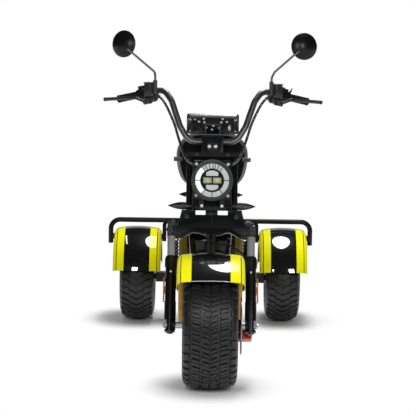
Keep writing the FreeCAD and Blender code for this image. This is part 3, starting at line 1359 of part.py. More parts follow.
def all_parts():
    """Every node by name."""
    front = (0, FRONT_AXLE_Y, FRONT_R)
    front_tyre = tyre(FRONT_TYRE_D, FRONT_TYRE_W, FRONT_TREAD_W, FRONT_RIM_D, FRONT_RIM_W)
    rear_tyre = tyre(REAR_TYRE_D, REAR_TYRE_W, REAR_TREAD_W, REAR_RIM_D, REAR_RIM_W)
    left_tyre = placed(rear_tyre, WHEEL_X, REAR_AXLE_Y, REAR_R)
    left_rim = placed(rear_rim(), WHEEL_X, REAR_AXLE_Y, REAR_R)
    return {
        "front_tyre": placed(front_tyre, *front),
        "front_rim": placed(front_rim(), *front),
        "front_disc": placed(brake_disc(), *front),
        "rear_tyre_left": left_tyre,
        "rear_tyre_right": mirrored(left_tyre),
        "rear_rim_left": left_rim,
        "rear_rim_right": mirrored(left_rim),
        "fork_bridge": fork_bridge(),
        "fork_uprights": fork_uprights(),
        "steering_stem": steering_stem(),
        "fork_stanchions": fork_stanchions(),
        "fork_sliders": fork_sliders(),
        "fork_reflectors": fork_reflectors(),
        "front_axle": front_axle(),
        "front_caliper": front_caliper(),
        "front_fender": front_fender(),
        "fender_stays": fender_stays(),
        "upper_clamp": upper_clamp(),
        "handlebar_clamp": handlebar_clamp(),
        "handlebar": handlebar(),
        "grips": grips(),
        "switch_housings": switch_housings(),
        "brake_cylinders": brake_cylinders(),
        "brake_levers": brake_levers(),
        "mirrors": mirrors(),
        "mirror_glass": mirror_glass(),
        "dash": dash(),
        "dash_screen": dash_screen(),
        "dash_bracket": dash_bracket(),
        "headlight_housing": headlight_housing(),
        "headlight_lens": headlight_lens(),
        "headlight_bracket": headlight_bracket(),
        "front_signals": front_signals(),
        "control_cables": control_cables(),
        "main_frame": main_frame(),
        "rear_frame": rear_frame(),
        "belly_core": belly_core(),
        "belly_covers": belly_covers(),
        "tank": tank(),
        "tank_fittings": tank_fittings(),
        "seat": seat(),
        "seat_base": seat_base(),
        "foot_boards": foot_boards(),
        "axle_beam": axle_beam(),
        "drive_motor": drive_motor(),
        "swingarm": swingarm(),
        "shock_absorbers": shock_absorbers(),
        "rear_fenders": rear_fenders(),
        "fender_rack": fender_rack(),
        "tail_lamp": tail_lamp(),
        "rear_signals": rear_signals(),
        "plate_holder": plate_holder(),
    }


def main():
    """Writes each node to its own file."""
    os.makedirs("parts", exist_ok=True)
    for name, shape in all_parts().items():
        shape.exportStep("parts/" + name + ".step")
        state = "valid" if shape.isValid() else "NOT VALID"
        print(name, len(shape.Solids), state, round(shape.Volume / 1000, 1))


main()
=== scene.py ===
"""Looks of an electric three-wheeled scooter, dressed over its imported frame.

Lengths are millimetres on the drawing and become metres when a piece is finished.
+X is the rider's left, the vehicle faces -Y and +Z is up from the floor.
"""

import json
import logging
import math
from dataclasses import dataclass, field
from enum import Enum
from typing import Callable, Iterable, Optional, Sequence

import bmesh
import bpy
from mathutils import Matrix, Vector
from mathutils.bvhtree import BVHTree

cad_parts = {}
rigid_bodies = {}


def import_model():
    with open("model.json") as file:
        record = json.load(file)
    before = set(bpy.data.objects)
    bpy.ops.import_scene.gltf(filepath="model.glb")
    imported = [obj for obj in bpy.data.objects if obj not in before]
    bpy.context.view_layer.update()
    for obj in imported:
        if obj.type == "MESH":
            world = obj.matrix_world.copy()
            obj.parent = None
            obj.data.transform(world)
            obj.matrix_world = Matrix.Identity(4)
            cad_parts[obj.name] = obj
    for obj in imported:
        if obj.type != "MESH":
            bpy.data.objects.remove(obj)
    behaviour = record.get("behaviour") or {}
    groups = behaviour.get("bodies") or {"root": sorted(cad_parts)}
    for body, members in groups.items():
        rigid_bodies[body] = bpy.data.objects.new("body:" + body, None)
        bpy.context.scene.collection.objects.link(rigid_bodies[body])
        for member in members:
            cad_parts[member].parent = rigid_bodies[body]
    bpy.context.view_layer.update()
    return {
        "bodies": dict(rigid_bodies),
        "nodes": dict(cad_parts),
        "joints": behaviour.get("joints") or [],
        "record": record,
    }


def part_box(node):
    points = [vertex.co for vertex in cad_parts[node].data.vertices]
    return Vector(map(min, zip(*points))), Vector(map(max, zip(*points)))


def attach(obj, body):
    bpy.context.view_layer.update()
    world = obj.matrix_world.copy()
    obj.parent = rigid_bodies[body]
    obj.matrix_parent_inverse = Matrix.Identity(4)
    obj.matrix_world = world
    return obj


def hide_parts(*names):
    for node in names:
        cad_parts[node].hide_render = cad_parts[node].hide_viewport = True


LOG = logging.getLogger("scooter")
MM = 0.001
FULL_TURN = 2.0 * math.pi
UP = Vector((0.0, 0.0, 1.0))
AHEAD = Vector((0.0, -1.0, 0.0))
OUT = Vector((1.0, 0.0, 0.0))
WHITE = (1.0, 1.0, 1.0, 1.0)
SIDES = (-1, 1)

Pair = tuple[float, float]
Triple = tuple[float, float, float]
Stop = tuple[float, Triple]
Lug = tuple[Pair, Pair, Pair]
Socket = bpy.types.NodeSocket
Piece = bpy.types.Object


class Body(Enum):
    """The moving bodies that pieces ride on."""

    CHASSIS = "chassis"
    HEAD = "steering_head"
    FRONT_WHEEL = "front_wheel"
    REAR_LEFT = "rear_wheel_left"
    REAR_RIGHT = "rear_wheel_right"


class Side(Enum):
    """The rider's two sides."""

    LEFT = 1
    RIGHT = -1


class BoltHead(Enum):
    """Kinds of bolt head that the scooter carries."""

    HEX = "hex"
    SOCKET = "socket"
    DOME = "dome"


class Brushing(Enum):
    """How a bare metal surface was worked."""

    POLISHED = "polished"
    TURNED = "turned"
    CAST = "cast"


Bolt = tuple[Vector, Vector, float, BoltHead]


@dataclass(frozen=True)
class Layout:
    """Main places of the vehicle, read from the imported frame.

    Attributes:
        axle_y: Front axle's place along the vehicle.
        front_r: Front tyre's radius.
        rear_axle_y: Rear axle's place along the vehicle.
        rear_r: Rear tyres' radius.
        wheel_x: Distance of a rear wheel from the centre plane.
        rake: Rake of the fork in degrees.
        head_back: Distance of the steering head's top behind the front axle.
        head_top: Height of the steering head's top.
    """

    axle_y: float
    front_r: float
    rear_axle_y: float
    rear_r: float
    wheel_x: float
    rake: float = 26.0
    head_back: float = 296.3
    head_top: float = 847.6

    @classmethod
    def from_frame(cls) -> "Layout":
        """Reads the wheels' boxes.

        Returns:
            The layout in millimetres.
        """
        low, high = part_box("front_tyre")
        rear_low, rear_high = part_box("rear_tyre_left")
        return cls(
            axle_y=(low.y + high.y) / 2 / MM,
            front_r=(high.z - low.z) / 2 / MM,
            rear_axle_y=(rear_low.y + rear_high.y) / 2 / MM,
            rear_r=(rear_high.z - rear_low.z) / 2 / MM,
            wheel_x=(rear_low.x + rear_high.x) / 2 / MM,
        )

    def at(self, x: float, behind: float, z: float) -> Vector:
        """A point given by its distance behind the front axle."""
        return Vector((x, self.axle_y + behind, z))

    def head(self, x: float, behind: float, above: float) -> Vector:
        """A point measured from the top of the steering head."""
        return self.at(x, self.head_back + behind, self.head_top + above)

    def fork(self) -> Matrix:
        """The fork's own frame: origin on the front axle, z up the legs, y to the rear."""
        return self.front_wheel() @ spun(-self.rake, "X")

    def front_wheel(self) -> Matrix:
        """The front wheel's frame, upright, with its origin on the axle."""
        return Matrix.Translation(self.at(0, 0, self.front_r))

    def contacts(self) -> list[Vector]:
        """The points where the three tyres stand."""
        rear = Vector((self.wheel_x, self.rear_axle_y, 0))
        return [self.at(0, 0, 0), rear, flipped(rear)]

    def rear_wheel(self, side: Side) -> Matrix:
        """A rear wheel's frame, upright, with its origin on the axle."""
        return moved(side.value * self.wheel_x, self.rear_axle_y, self.rear_r)


def along(start: Vector, direction: Vector) -> Matrix:
    """A frame whose z axis points along a direction.

    Args:
        start: Origin of the frame.
        direction: Way that its z axis points.

    Returns:
        The frame as a matrix.
    """
    return Matrix.Translation(start) @ direction.to_track_quat("Z", "Y").to_matrix().to_4x4()


def moved(x: float, y: float, z: float) -> Matrix:
    """A frame moved by three distances."""
    return Matrix.Translation(Vector((x, y, z)))


def spun(degrees: float, axis: str) -> Matrix:
    """A frame turned about one of its axes."""
    return Matrix.Rotation(math.radians(degrees), 4, axis)


def flipped(point: Vector) -> Vector:
    """The point's mirror image on the other side of the vehicle."""
    return Vector((-point.x, point.y, point.z))


def mirrored(points: Iterable[Vector]) -> list[Vector]:
    """Flat points on the other side of a section's middle."""
    return [Vector((-point.x, point.y)) for point in points]


def turns(count: int) -> list[float]:
    """Angles of even steps once round."""
    return [FULL_TURN * index / count for index in range(count)]


def ball(radius: float, steps: int) -> list[Pair]:
    """A ball's profile for the lathe."""
    angles = [math.pi * index / steps for index in range(steps + 1)]
    return [(radius * math.sin(angle), -radius * math.cos(angle)) for angle in angles]


def shown(made: Piece) -> Piece:
    """Puts an object into the scene and returns it."""
    bpy.context.scene.collection.objects.link(made)
    return made


class Wiring:
    """A node tree laid out step by step."""

    def __init__(self, tree: bpy.types.NodeTree, coordinates: str) -> None:
        """Starts from the tree's texture coordinates.

        Args:
            tree: The tree that is filled.
            coordinates: Kind of coordinates that its textures use.
        """
        self.tree = tree
        self.place = tree.nodes.new("ShaderNodeTexCoord").outputs[coordinates]

    def plug(self, value: object, socket: Socket) -> None:
        """Links a socket to another one, or sets it to a constant.

        Args:
            value: A number, a colour or another node's output.
            socket: The input that takes it.
        """
        if isinstance(value, Socket):
            self.tree.links.new(value, socket)
        else:
            socket.default_value = value

    def node(self, kind: str, **inputs: object) -> bpy.types.Node:
        """Adds a node and fills its inputs.

        Args:
            kind: Node type.
            **inputs: Values or sockets by input name, spaces as underscores.

        Returns:
            The new node.
        """
        made = self.tree.nodes.new(kind)
        for name, value in inputs.items():
            self.plug(value, made.inputs[name.replace("_", " ")])
        return made

    def axis(self, name: str) -> Socket:
        """One of the three coordinates."""
        return self.node("ShaderNodeSeparateXYZ", Vector=self.place).outputs[name]

    def span(
        self, source: Socket, low: float, high: float, bottom: float = 0.0, top: float = 1.0
    ) -> Socket:
        """Maps a value from between bottom and top to between low and high."""
        ends = {"From_Min": bottom, "From_Max": top, "To_Min": low, "To_Max": high}
        return self.node("ShaderNodeMapRange", Value=source, **ends).outputs["Result"]

    def sum(self, operation: str, first: object, second: object = 0.0) -> Socket:
        """One step of arithmetic on values.

        Args:
            operation: Name of the operation.
            first: Socket or number.
            second: Socket or number.

        Returns:
            The result's socket.
        """
        made = self.tree.nodes.new("ShaderNodeMath")
        made.operation = operation
        for socket, value in zip(made.inputs, (first, second)):
            self.plug(value, socket)
        return made.outputs["Value"]


class Bench(Wiring):
    """Node tree of one material with a principled shader."""

    def __init__(self, name: str) -> None:
        """Starts an empty material.

        Args:
            name: The material's name.
        """
        self.material = bpy.data.materials.new(name)
        self.material.use_nodes = True
        super().__init__(self.material.node_tree, "Object")
        self.shader = self.tree.nodes["Principled BSDF"]

    def set(self, **sockets: object) -> None:
        """Sets constant values on the shader's own sockets.

        Args:
            **sockets: Socket names with spaces written as underscores.
        """
        for name, value in sockets.items():
            self.shader.inputs[name.replace("_", " ")].default_value = value

    def feed(self, socket: str, source: Socket) -> None:
        """Links a texture to one of the shader's sockets."""
        self.tree.links.new(source, self.shader.inputs[socket])

    def patchy(self, scale: float, detail: float, low: float, high: float) -> None:
        """Lets the shader's roughness wander between two values."""
        self.feed("Roughness", self.span(self.noise(scale, detail), low, high))

    def stretched(self, *scale: float) -> Socket:
        """Coordinates scaled apart along the three axes."""
        return self.node("ShaderNodeMapping", Scale=scale, Vector=self.place).outputs["Vector"]

    def noise(
        self, scale: float, detail: float = 4.0, rough: float = 0.5, place: Optional[Socket] = None
    ) -> Socket:
        """A noise value between 0 and 1.

        Args:
            scale: Waves per metre.
            detail: Octaves.
            rough: Weight of the finer octaves.
            place: Coordinates, the object's own if not given.

        Returns:
            The noise factor's socket.
        """
        waves = {"Scale": scale, "Detail": detail, "Roughness": rough}
        return self.node("ShaderNodeTexNoise", Vector=place or self.place, **waves).outputs["Fac"]

    def cells(self, scale: float) -> Socket:
        """Distance to the nearest of scattered cell centres."""
        return self.node("ShaderNodeTexVoronoi", Scale=scale, Vector=self.place).outputs["Distance"]

    def waves(self, scale: float, axis: str) -> Socket:
        """Even ribs across one axis."""
        made = self.node("ShaderNodeTexWave", Scale=scale, Distortion=0.0, Vector=self.place)
        made.bands_direction = axis
        return made.outputs["Fac"]

    def ramp(self, source: Socket, stops: Sequence[Stop]) -> Socket:
        """Turns a value into a colour.

        Args:
            source: The value.
            stops: Places between 0 and 1 with their colours.

        Returns:
            The colour's socket.
        """
        made = self.node("ShaderNodeValToRGB", Fac=source)
        steps = made.color_ramp.elements
        while len(steps) < len(stops):
            steps.new(0.5)
        for step, (place, colour) in zip(steps, stops):
            step.position = place
            step.color = (*colour, 1.0)
        return made.outputs["Color"]

    def blend(self, share: Socket, first: object, second: object) -> Socket:
        """Mixes two colours by a share that varies over the surface.

        Args:
            share: Share of the second colour.
            first: The colour at a share of zero.
            second: The colour at a share of one.

        Returns:
            The mixed colour.
        """
        made = self.tree.nodes.new("ShaderNodeMix")
        made.data_type = "RGBA"
        self.tree.links.new(share, made.inputs[0])
        for socket, value in zip((made.inputs[6], made.inputs[7]), (first, second)):
            self.plug(value if isinstance(value, Socket) else (*value, 1.0), socket)
        return made.outputs[2]

    def relief(self, *layers: tuple[Socket, float]) -> None:
        """Raises the surface by height layers.

        Args:
            *layers: Height sockets, each with its depth in metres.
        """
        normal: Optional[Socket] = None
        for height, depth in layers:
            bump = self.node("ShaderNodeBump", Height=height, Distance=depth, Strength=1.0)
            if normal is not None:
                self.tree.links.new(normal, bump.inputs["Normal"])
            normal = bump.outputs["Normal"]
        if normal is not None:
            self.feed("Normal", normal)


@dataclass(frozen=True)
class Finish:
    """A surface finish, made into a material once.

    Attributes:
        name: The material's name.
        slot: The record's material slot that it stands for; not used by the script.
        colour: Main colour, linear.
    """

    name: str
    slot: str
    colour: Triple

    def material(self) -> bpy.types.Material:
        """The finish's material, made on first use."""
        known = bpy.data.materials.get(self.name)
        return known if known is not None else self.make(Bench(self.name)).material

    def make(self, bench: Bench) -> Bench:
        """Lays out the nodes.

        Args:
            bench: The empty material.

        Returns:
            The filled bench.
        """
        raise NotImplementedError

    def varied(self, amount: float) -> list[Stop]:
        """Ramp stops from a darker to a lighter cast of the colour."""
        dark = tuple(max(0.0, c * (1.0 - amount)) for c in self.colour)
        light = tuple(min(1.0, c * (1.0 + amount)) for c in self.colour)
        return [(0.35, dark), (0.65, light)]


@dataclass(frozen=True)
class Rubber(Finish):
    """Moulded rubber with a fine skin and dusty patches.

    Attributes:
        roughness: Mean roughness.
        grain: Grain cells per metre.
        specular: Strength of its reflection.
    """

    roughness: float = 0.5
    grain: float = 900.0
    specular: float = 0.12

    def make(self, bench: Bench) -> Bench:
        """Matt black with wear that lightens it in patches.

        Args:
            bench: The empty material.

        Returns:
            The filled bench.
        """
        bench.set(Specular_IOR_Level=self.specular)
        bench.feed("Base Color", bench.ramp(bench.noise(14.0, 6.0), self.varied(0.35)))
        bench.patchy(40.0, 5.0, self.roughness - 0.1, self.roughness + 0.14)
        bench.relief((bench.noise(self.grain, 3.0), 0.0002), (bench.noise(120.0, 4.0), 0.0005))
        return bench


@dataclass(frozen=True)
class Paint(Finish):
    """Sprayed gloss paint under a clear coat.

    Attributes:
        roughness: Roughness of the colour layer.
        peel: Depth of the orange peel in metres.
        coat: Weight of the clear coat.
        coat_roughness: Roughness of the clear coat.
        coat_ior: Refraction of the clear coat, which sets how bright it mirrors.
        specular: Strength of the colour layer's own reflection.
    """

    roughness: float = 0.3
    peel: float = 0.00002
    coat: float = 1.0
    coat_roughness: float = 0.03
    coat_ior: float = 1.5
    specular: float = 0.4

    def make(self, bench: Bench) -> Bench:
        """Even colour, a clear coat and light dust.

        Args:
            bench: The empty material.

        Returns:
            The filled bench.
        """
        bench.set(Coat_Weight=self.coat, Coat_Roughness=self.coat_roughness)
        bench.set(Coat_IOR=self.coat_ior, Specular_IOR_Level=self.specular)
        bench.feed("Base Color", self.colours(bench))
        bench.patchy(30.0, 6.0, self.roughness - 0.06, self.roughness + 0.1)
        bench.relief((bench.noise(180.0, 2.0), self.peel))
        return bench

    def colours(self, bench: Bench) -> Socket:
        """The colour layer's socket."""
        return bench.ramp(bench.noise(6.0, 3.0), self.varied(0.05))


@dataclass(frozen=True)
class BandedPaint(Paint):
    """Fender paint: black middle, coloured flanks and a thin dark line along each flank.

    Attributes:
        middle: Distance of the band's middle from the centre plane.
        half_width: Half width of the black band.
        line: Distance of the thin line from the band's middle.
        line_width: Width of the thin line.
        flank_coat: Weight of the clear coat on the flanks.
    """

    middle: float = 0.0
    half_width: float = 73.0
    line: float = 113.0
    line_width: float = 3.2
    flank_coat: float = 0.22

    def colours(self, bench: Bench) -> Socket:
        """Bands by the distance from the fender's middle.

        Args:
            bench: The material.

        Returns:
            The colour.
        """
        off_centre = bench.sum("ABSOLUTE", bench.axis("X"))
        out = bench.sum("ABSOLUTE", bench.sum("SUBTRACT", off_centre, self.middle * MM))
        black = bench.sum("LESS_THAN", out, self.half_width * MM)
        offset = bench.sum("ABSOLUTE", bench.sum("SUBTRACT", out, self.line * MM))
        line = bench.sum("LESS_THAN", offset, self.line_width * MM / 2)
        dark = bench.sum("MAXIMUM", black, line)
        bench.feed("Coat Weight", bench.span(dark, self.flank_coat, self.coat))
        flank = bench.ramp(bench.noise(5.0, 3.0), self.varied(0.03))
        return bench.blend(dark, flank, (0.006, 0.006, 0.007))


@dataclass(frozen=True)
class ShadedTopPaint(Paint):
    """Paint that grows darker towards the top of the cover: painted shade for the shadow that the
    fork bridge casts on it.

    Attributes:
        shaded: Colour at the top, the painted shade.
        low: Height where it starts to darken.
        high: Height above which it is fully dark.
    """

    shaded: Triple = (0.15, 0.11, 0.01)
    low: float = 300.0
    high: float = 430.0

    def colours(self, bench: Bench) -> Socket:
        """The main colour below and the painted shade above."""
        # Painted shade: the colour darkens with height towards the bridge's shadow.
        rise = bench.span(bench.axis("Z"), 0.0, 1.0, self.low * MM, self.high * MM)
        return bench.blend(rise, super().colours(bench), self.shaded)


@dataclass(frozen=True)
class Coated(Finish):
    """Satin coated steel or casting with a fine sandy grain and rubbed edges.

    Attributes:
        roughness: Mean roughness.
        grain: Grain cells per metre.
        depth: Grain depth in metres.
        worn: Colour where the edges are rubbed.
        coat: Weight of the clear coat.
        specular: Strength of the coating's own reflection.
    """

    roughness: float = 0.4
    grain: float = 700.0
    depth: float = 0.00005
    worn: Triple = (0.12, 0.12, 0.125)
    coat: float = 0.15
    specular: float = 0.12

    def make(self, bench: Bench) -> Bench:
        """Dark coating, lighter along sharp convex edges.

        Args:
            bench: The empty material.

        Returns:
            The filled bench.
        """
        bench.set(Specular_IOR_Level=self.specular, Coat_Weight=self.coat, Coat_Roughness=0.2)
        edges = bench.node("ShaderNodeNewGeometry").outputs["Pointiness"]
        rubbed = bench.span(edges, 0.0, 1.0, 0.53, 0.6)
        broken = bench.sum("MULTIPLY", rubbed, bench.noise(160.0, 5.0))
        base = bench.ramp(bench.noise(9.0, 4.0), self.varied(0.2))
        bench.feed("Base Color", bench.blend(broken, base, self.worn))
        bench.patchy(60.0, 5.0, self.roughness - 0.08, self.roughness + 0.1)
        bench.relief((bench.noise(self.grain, 2.0), self.depth))
        return bench


@dataclass(frozen=True)
class BareMetal(Finish):
    """Bare or plated metal.

    Attributes:
        roughness: Mean roughness.
        brushing: How the surface was worked.
        metallic: Share of the surface that is bare, below 1 for dull plating.
    """

    roughness: float = 0.2
    brushing: Brushing = Brushing.POLISHED
    metallic: float = 1.0

    def make(self, bench: Bench) -> Bench:
        """Metal whose marks follow the way it was worked.

        Args:
            bench: The empty material.

        Returns:
            The filled bench.
        """
        bench.set(Metallic=self.metallic)
        bench.feed("Base Color", bench.ramp(bench.noise(20.0, 4.0), self.varied(0.08)))
        if self.brushing is Brushing.TURNED:
            marks = bench.noise(30.0, 6.0, 0.7, bench.stretched(2.0, 40.0, 40.0))
            bench.feed("Roughness", bench.span(marks, self.roughness - 0.08, self.roughness + 0.15))
            bench.relief((marks, 0.00006))
        elif self.brushing is Brushing.CAST:
            bench.patchy(90.0, 5.0, self.roughness - 0.08, self.roughness + 0.12)
            bench.relief((bench.noise(500.0, 3.0), 0.00025))
        else:
            bench.patchy(70.0, 6.0, max(0.02, self.roughness - 0.05), self.roughness + 0.05)
            bench.relief((bench.noise(300.0, 2.0), 0.000006))
        return bench


@dataclass(frozen=True)
class Moulding(Finish):
    """Moulded plastic with a spark-eroded grain.

    Attributes:
        roughness: Mean roughness.
        grain: Grain cells per metre.
        depth: Grain depth in metres.
    """

    roughness: float = 0.45
    grain: float = 1400.0
    depth: float = 0.00008

    def make(self, bench: Bench) -> Bench:
        """Plain colour with a fine leathery grain.

        Args:
            bench: The empty material.

        Returns:
            The filled bench.
        """
        bench.set(Specular_IOR_Level=0.18)
        bench.feed("Base Color", bench.ramp(bench.noise(11.0, 5.0), self.varied(0.18)))
        bench.patchy(50.0, 5.0, self.roughness - 0.08, self.roughness + 0.1)
        bench.relief((bench.cells(self.grain), self.depth))
        return bench


@dataclass(frozen=True)
class Upholstery(Finish):
    """Stitched synthetic leather."""

    def make(self, bench: Bench) -> Bench:
        """Pebbled grain with soft creases and a little sheen.

        Args:
            bench: The empty material.

        Returns:
            The filled bench.
        """
        bench.set(Specular_IOR_Level=0.4, Sheen_Weight=0.12, Sheen_Roughness=0.45)
        bench.feed("Base Color", bench.ramp(bench.noise(16.0, 6.0), self.varied(0.28)))
        bench.patchy(220.0, 4.0, 0.4, 0.58)
        bench.relief((bench.cells(620.0), 0.0004), (bench.noise(34.0, 5.0), 0.0012))
        return bench


@dataclass(frozen=True)
class ClearLens(Finish):
    """Clear or tinted moulded lens.

    Attributes:
        ribs: Ribs per metre across the lens, none if zero.
        clearness: Share of light that passes.
        glow: Strength of its own light, a painted highlight that stands in for the light reflected
            in the lamp's lenses.
    """

    ribs: float = 0.0
    clearness: float = 0.8
    glow: float = 0.0

    def make(self, bench: Bench) -> Bench:
        """Gloss plastic that lets light through, ribbed where the real one is.

        Args:
            bench: The empty material.

        Returns:
            The filled bench.
        """
        bench.set(
            Transmission_Weight=self.clearness, IOR=1.49, Coat_Weight=0.5, Coat_Roughness=0.03
        )
        bench.feed("Base Color", bench.ramp(bench.noise(25.0, 3.0), self.varied(0.06)))
        bench.patchy(90.0, 4.0, 0.04, 0.12)
        # Emission as painted highlight: the lenses glow to stand in for the light they reflect.
        if self.glow:
            bench.set(Emission_Color=(*self.colour, 1.0), Emission_Strength=self.glow)
        if self.ribs:
            bench.relief(
                (bench.waves(self.ribs, "X"), 0.0007), (bench.waves(self.ribs, "Z"), 0.0007)
            )
        else:
            bench.relief((bench.noise(260.0, 2.0), 0.00002))
        return bench


class Store:
    """Every finish of the scooter."""

    TYRE = Rubber("tyre_rubber", "tyre", (0.008, 0.0082, 0.0088), roughness=0.42, specular=0.5)
    HOSE = Rubber("hose_rubber", "cable_black", (0.009, 0.009, 0.01), roughness=0.4, grain=1500.0)
    GRIP = Rubber(
        "grip_compound", "grip_rubber", (0.009, 0.009, 0.009), roughness=0.5, grain=1300.0
    )
    MAT = Rubber("board_mat", "board_rubber", (0.014, 0.014, 0.014), roughness=0.6)
    CABLE = Paint(
        "cable_wrap", "cable_black", (0.01, 0.01, 0.011), roughness=0.35, peel=0.00001,
        coat_roughness=0.12, coat_ior=1.8,
    )
    YELLOW = (0.93, 0.9, 0.004)
    FRONT_FENDER = BandedPaint(
        "front_fender_paint", "yellow_paint", YELLOW, coat_ior=1.85, specular=0.05, middle=0.0,
        half_width=73.0, line=113.0,
    )
    REAR_FENDER = BandedPaint(
        "rear_fender_paint", "yellow_paint", YELLOW, coat_ior=1.85, specular=0.05, middle=326.0,
        half_width=57.0, line=90.0,
    )
    # The belly covers carry the fenders' yellow paint; their amber colour is that yellow with
    # painted shade, and the class darkens it further towards the top as painted shade.
    SHADED_YELLOW_PAINT = ShadedTopPaint(
        "belly_cover_paint", "yellow_paint", (0.62, 0.36, 0.012), roughness=0.3, coat=0.4,
        specular=0.1,
    )
    GLOSS_BLACK = Paint(
        "gloss_black_paint", "gloss_black", (0.004, 0.004, 0.0045), roughness=0.35, coat=0.4,
        specular=0.1,
    )
    FACET = Paint(
        "belly_facet_paint", "gloss_black", (0.05, 0.05, 0.052), roughness=0.4, coat=0.8,
        coat_roughness=0.25, specular=0.2,
    )
    FORK_BLACK = Paint(
        "fork_leg_paint", "fork_black", (0.006, 0.0062, 0.007), roughness=0.4, coat=0.45,
        coat_roughness=0.12, specular=0.1,
    )
    BAR_BLACK = Paint(
        "bar_paint", "bar_black", (0.01, 0.01, 0.0108), roughness=0.5, peel=0.000008,
        coat_roughness=0.38, coat_ior=1.85, specular=0.4,
    )
    TANK = Paint(
        "tank_paint", "tank_grey", (0.006, 0.0064, 0.0075), roughness=0.6, peel=0.00002, coat=0.22,
        coat_roughness=0.15, coat_ior=1.5, specular=0.05,
    )
    RED = Paint("caliper_paint", "caliper_red", (0.78, 0.014, 0.004), roughness=0.4, coat=0.4)
    DASH = Paint(
        "dash_shell_paint", "plastic_black", (0.007, 0.007, 0.0075), roughness=0.35, peel=0.000004,
        coat_roughness=0.3, coat_ior=2.1, specular=0.3,
    )
    MIRROR_SHELL = Paint(
        "mirror_shell_paint", "plastic_black", (0.005, 0.005, 0.0055), roughness=0.35, coat=0.35,
        coat_roughness=0.3, specular=0.1,
    )
    BRIDGE = Coated(
        "bridge_coating", "bridge_black", (0.0045, 0.005, 0.0056), roughness=0.5, coat=0.0,
        specular=0.06,
    )
    FRAME = Coated("frame_coating", "frame_black", (0.007, 0.007, 0.0078), roughness=0.38)
    FITTING = Coated(
        "fitting_black", "frame_black", (0.013, 0.013, 0.014), roughness=0.3, depth=0.00002,
        coat=0.5,
    )
    CASTING = Coated(
        "cylinder_coating", "plastic_black", (0.011, 0.011, 0.012), roughness=0.32, depth=0.00003,
        coat=0.5,
    )
    WHEEL = Coated("wheel_coating", "wheel_black", (0.01, 0.01, 0.011), roughness=0.34)
    LEVER = Coated(
        "lever_anodising", "lever_black", (0.016, 0.016, 0.018), roughness=0.26, depth=0.00002,
        coat=0.6,
    )
    CHROME = BareMetal(
        "stanchion_chrome", "chrome", (0.58, 0.59, 0.61), roughness=0.14, metallic=0.62
    )
    # Pale, barely metallic grey: on the belly lip and strips it reads bright whatever they face,
    # partly painted highlight.
    TRIM = BareMetal("trim_alloy", "bolt_steel", (0.62, 0.62, 0.63), roughness=0.34, metallic=0.15)
    ZINC = BareMetal("bolt_zinc", "bolt_steel", (0.78, 0.78, 0.79), roughness=0.24, metallic=0.35)
    DISC = BareMetal(
        "disc_surface", "disc_steel", (0.36, 0.36, 0.38), roughness=0.3, brushing=Brushing.TURNED
    )
    MOTOR = BareMetal(
        "motor_alloy", "motor_grey", (0.3, 0.31, 0.33), roughness=0.42, brushing=Brushing.CAST
    )
    MIRROR = BareMetal("mirror_silver", "mirror", (0.88, 0.9, 0.92), roughness=0.03)
    PLASTIC = Moulding("black_moulding", "plastic_black", (0.01, 0.01, 0.0105), roughness=0.42)
    SMOOTH_PLASTIC = Moulding(
        "smooth_moulding", "plastic_black", (0.01, 0.01, 0.011), roughness=0.26, depth=0.00002
    )
    LAMP_DARK = Moulding(
        "lamp_bezel", "plastic_black", (0.045, 0.045, 0.047), roughness=0.3, depth=0.00002
    )
    SCREEN = Moulding(
        "screen_window", "screen_glass", (0.006, 0.007, 0.009), roughness=0.1, depth=0.000004
    )
    SEAT = Upholstery("seat_cover", "seat_leather", (0.016, 0.0155, 0.015))
    THREAD = Rubber("seat_thread", "seat_leather", (0.06, 0.06, 0.062), roughness=0.7, grain=2500.0)
    AMBER = ClearLens("amber_reflector", "amber", (0.9, 0.3, 0.02), ribs=160.0, clearness=0.25)
    RED_LENS = ClearLens("tail_lens", "tail_red", (0.6, 0.01, 0.01), ribs=110.0, clearness=0.35)
    SIGNAL_LENS = ClearLens(
        "signal_window", "signal_lens", (0.05, 0.05, 0.03), ribs=130.0, clearness=0.1
    )
    # The headlamp's ring, half-moons and projectors glow as painted highlight, standing in for the
    # light their lenses reflect.
    LAMP_WHITE = ClearLens(
        "lamp_ring_white", "lamp_lens", (0.9, 0.92, 0.93), clearness=0.1, glow=0.3
    )
    LAMP_TEXTURED = ClearLens(
        "lamp_ring_ribbed", "lamp_lens", (0.8, 0.82, 0.82), ribs=150.0, clearness=0.15, glow=0.12
    )
    PROJECTOR = ClearLens(
        "projector_lens", "lamp_lens", (0.6, 0.63, 0.36), ribs=90.0, clearness=0.4, glow=0.12
    )


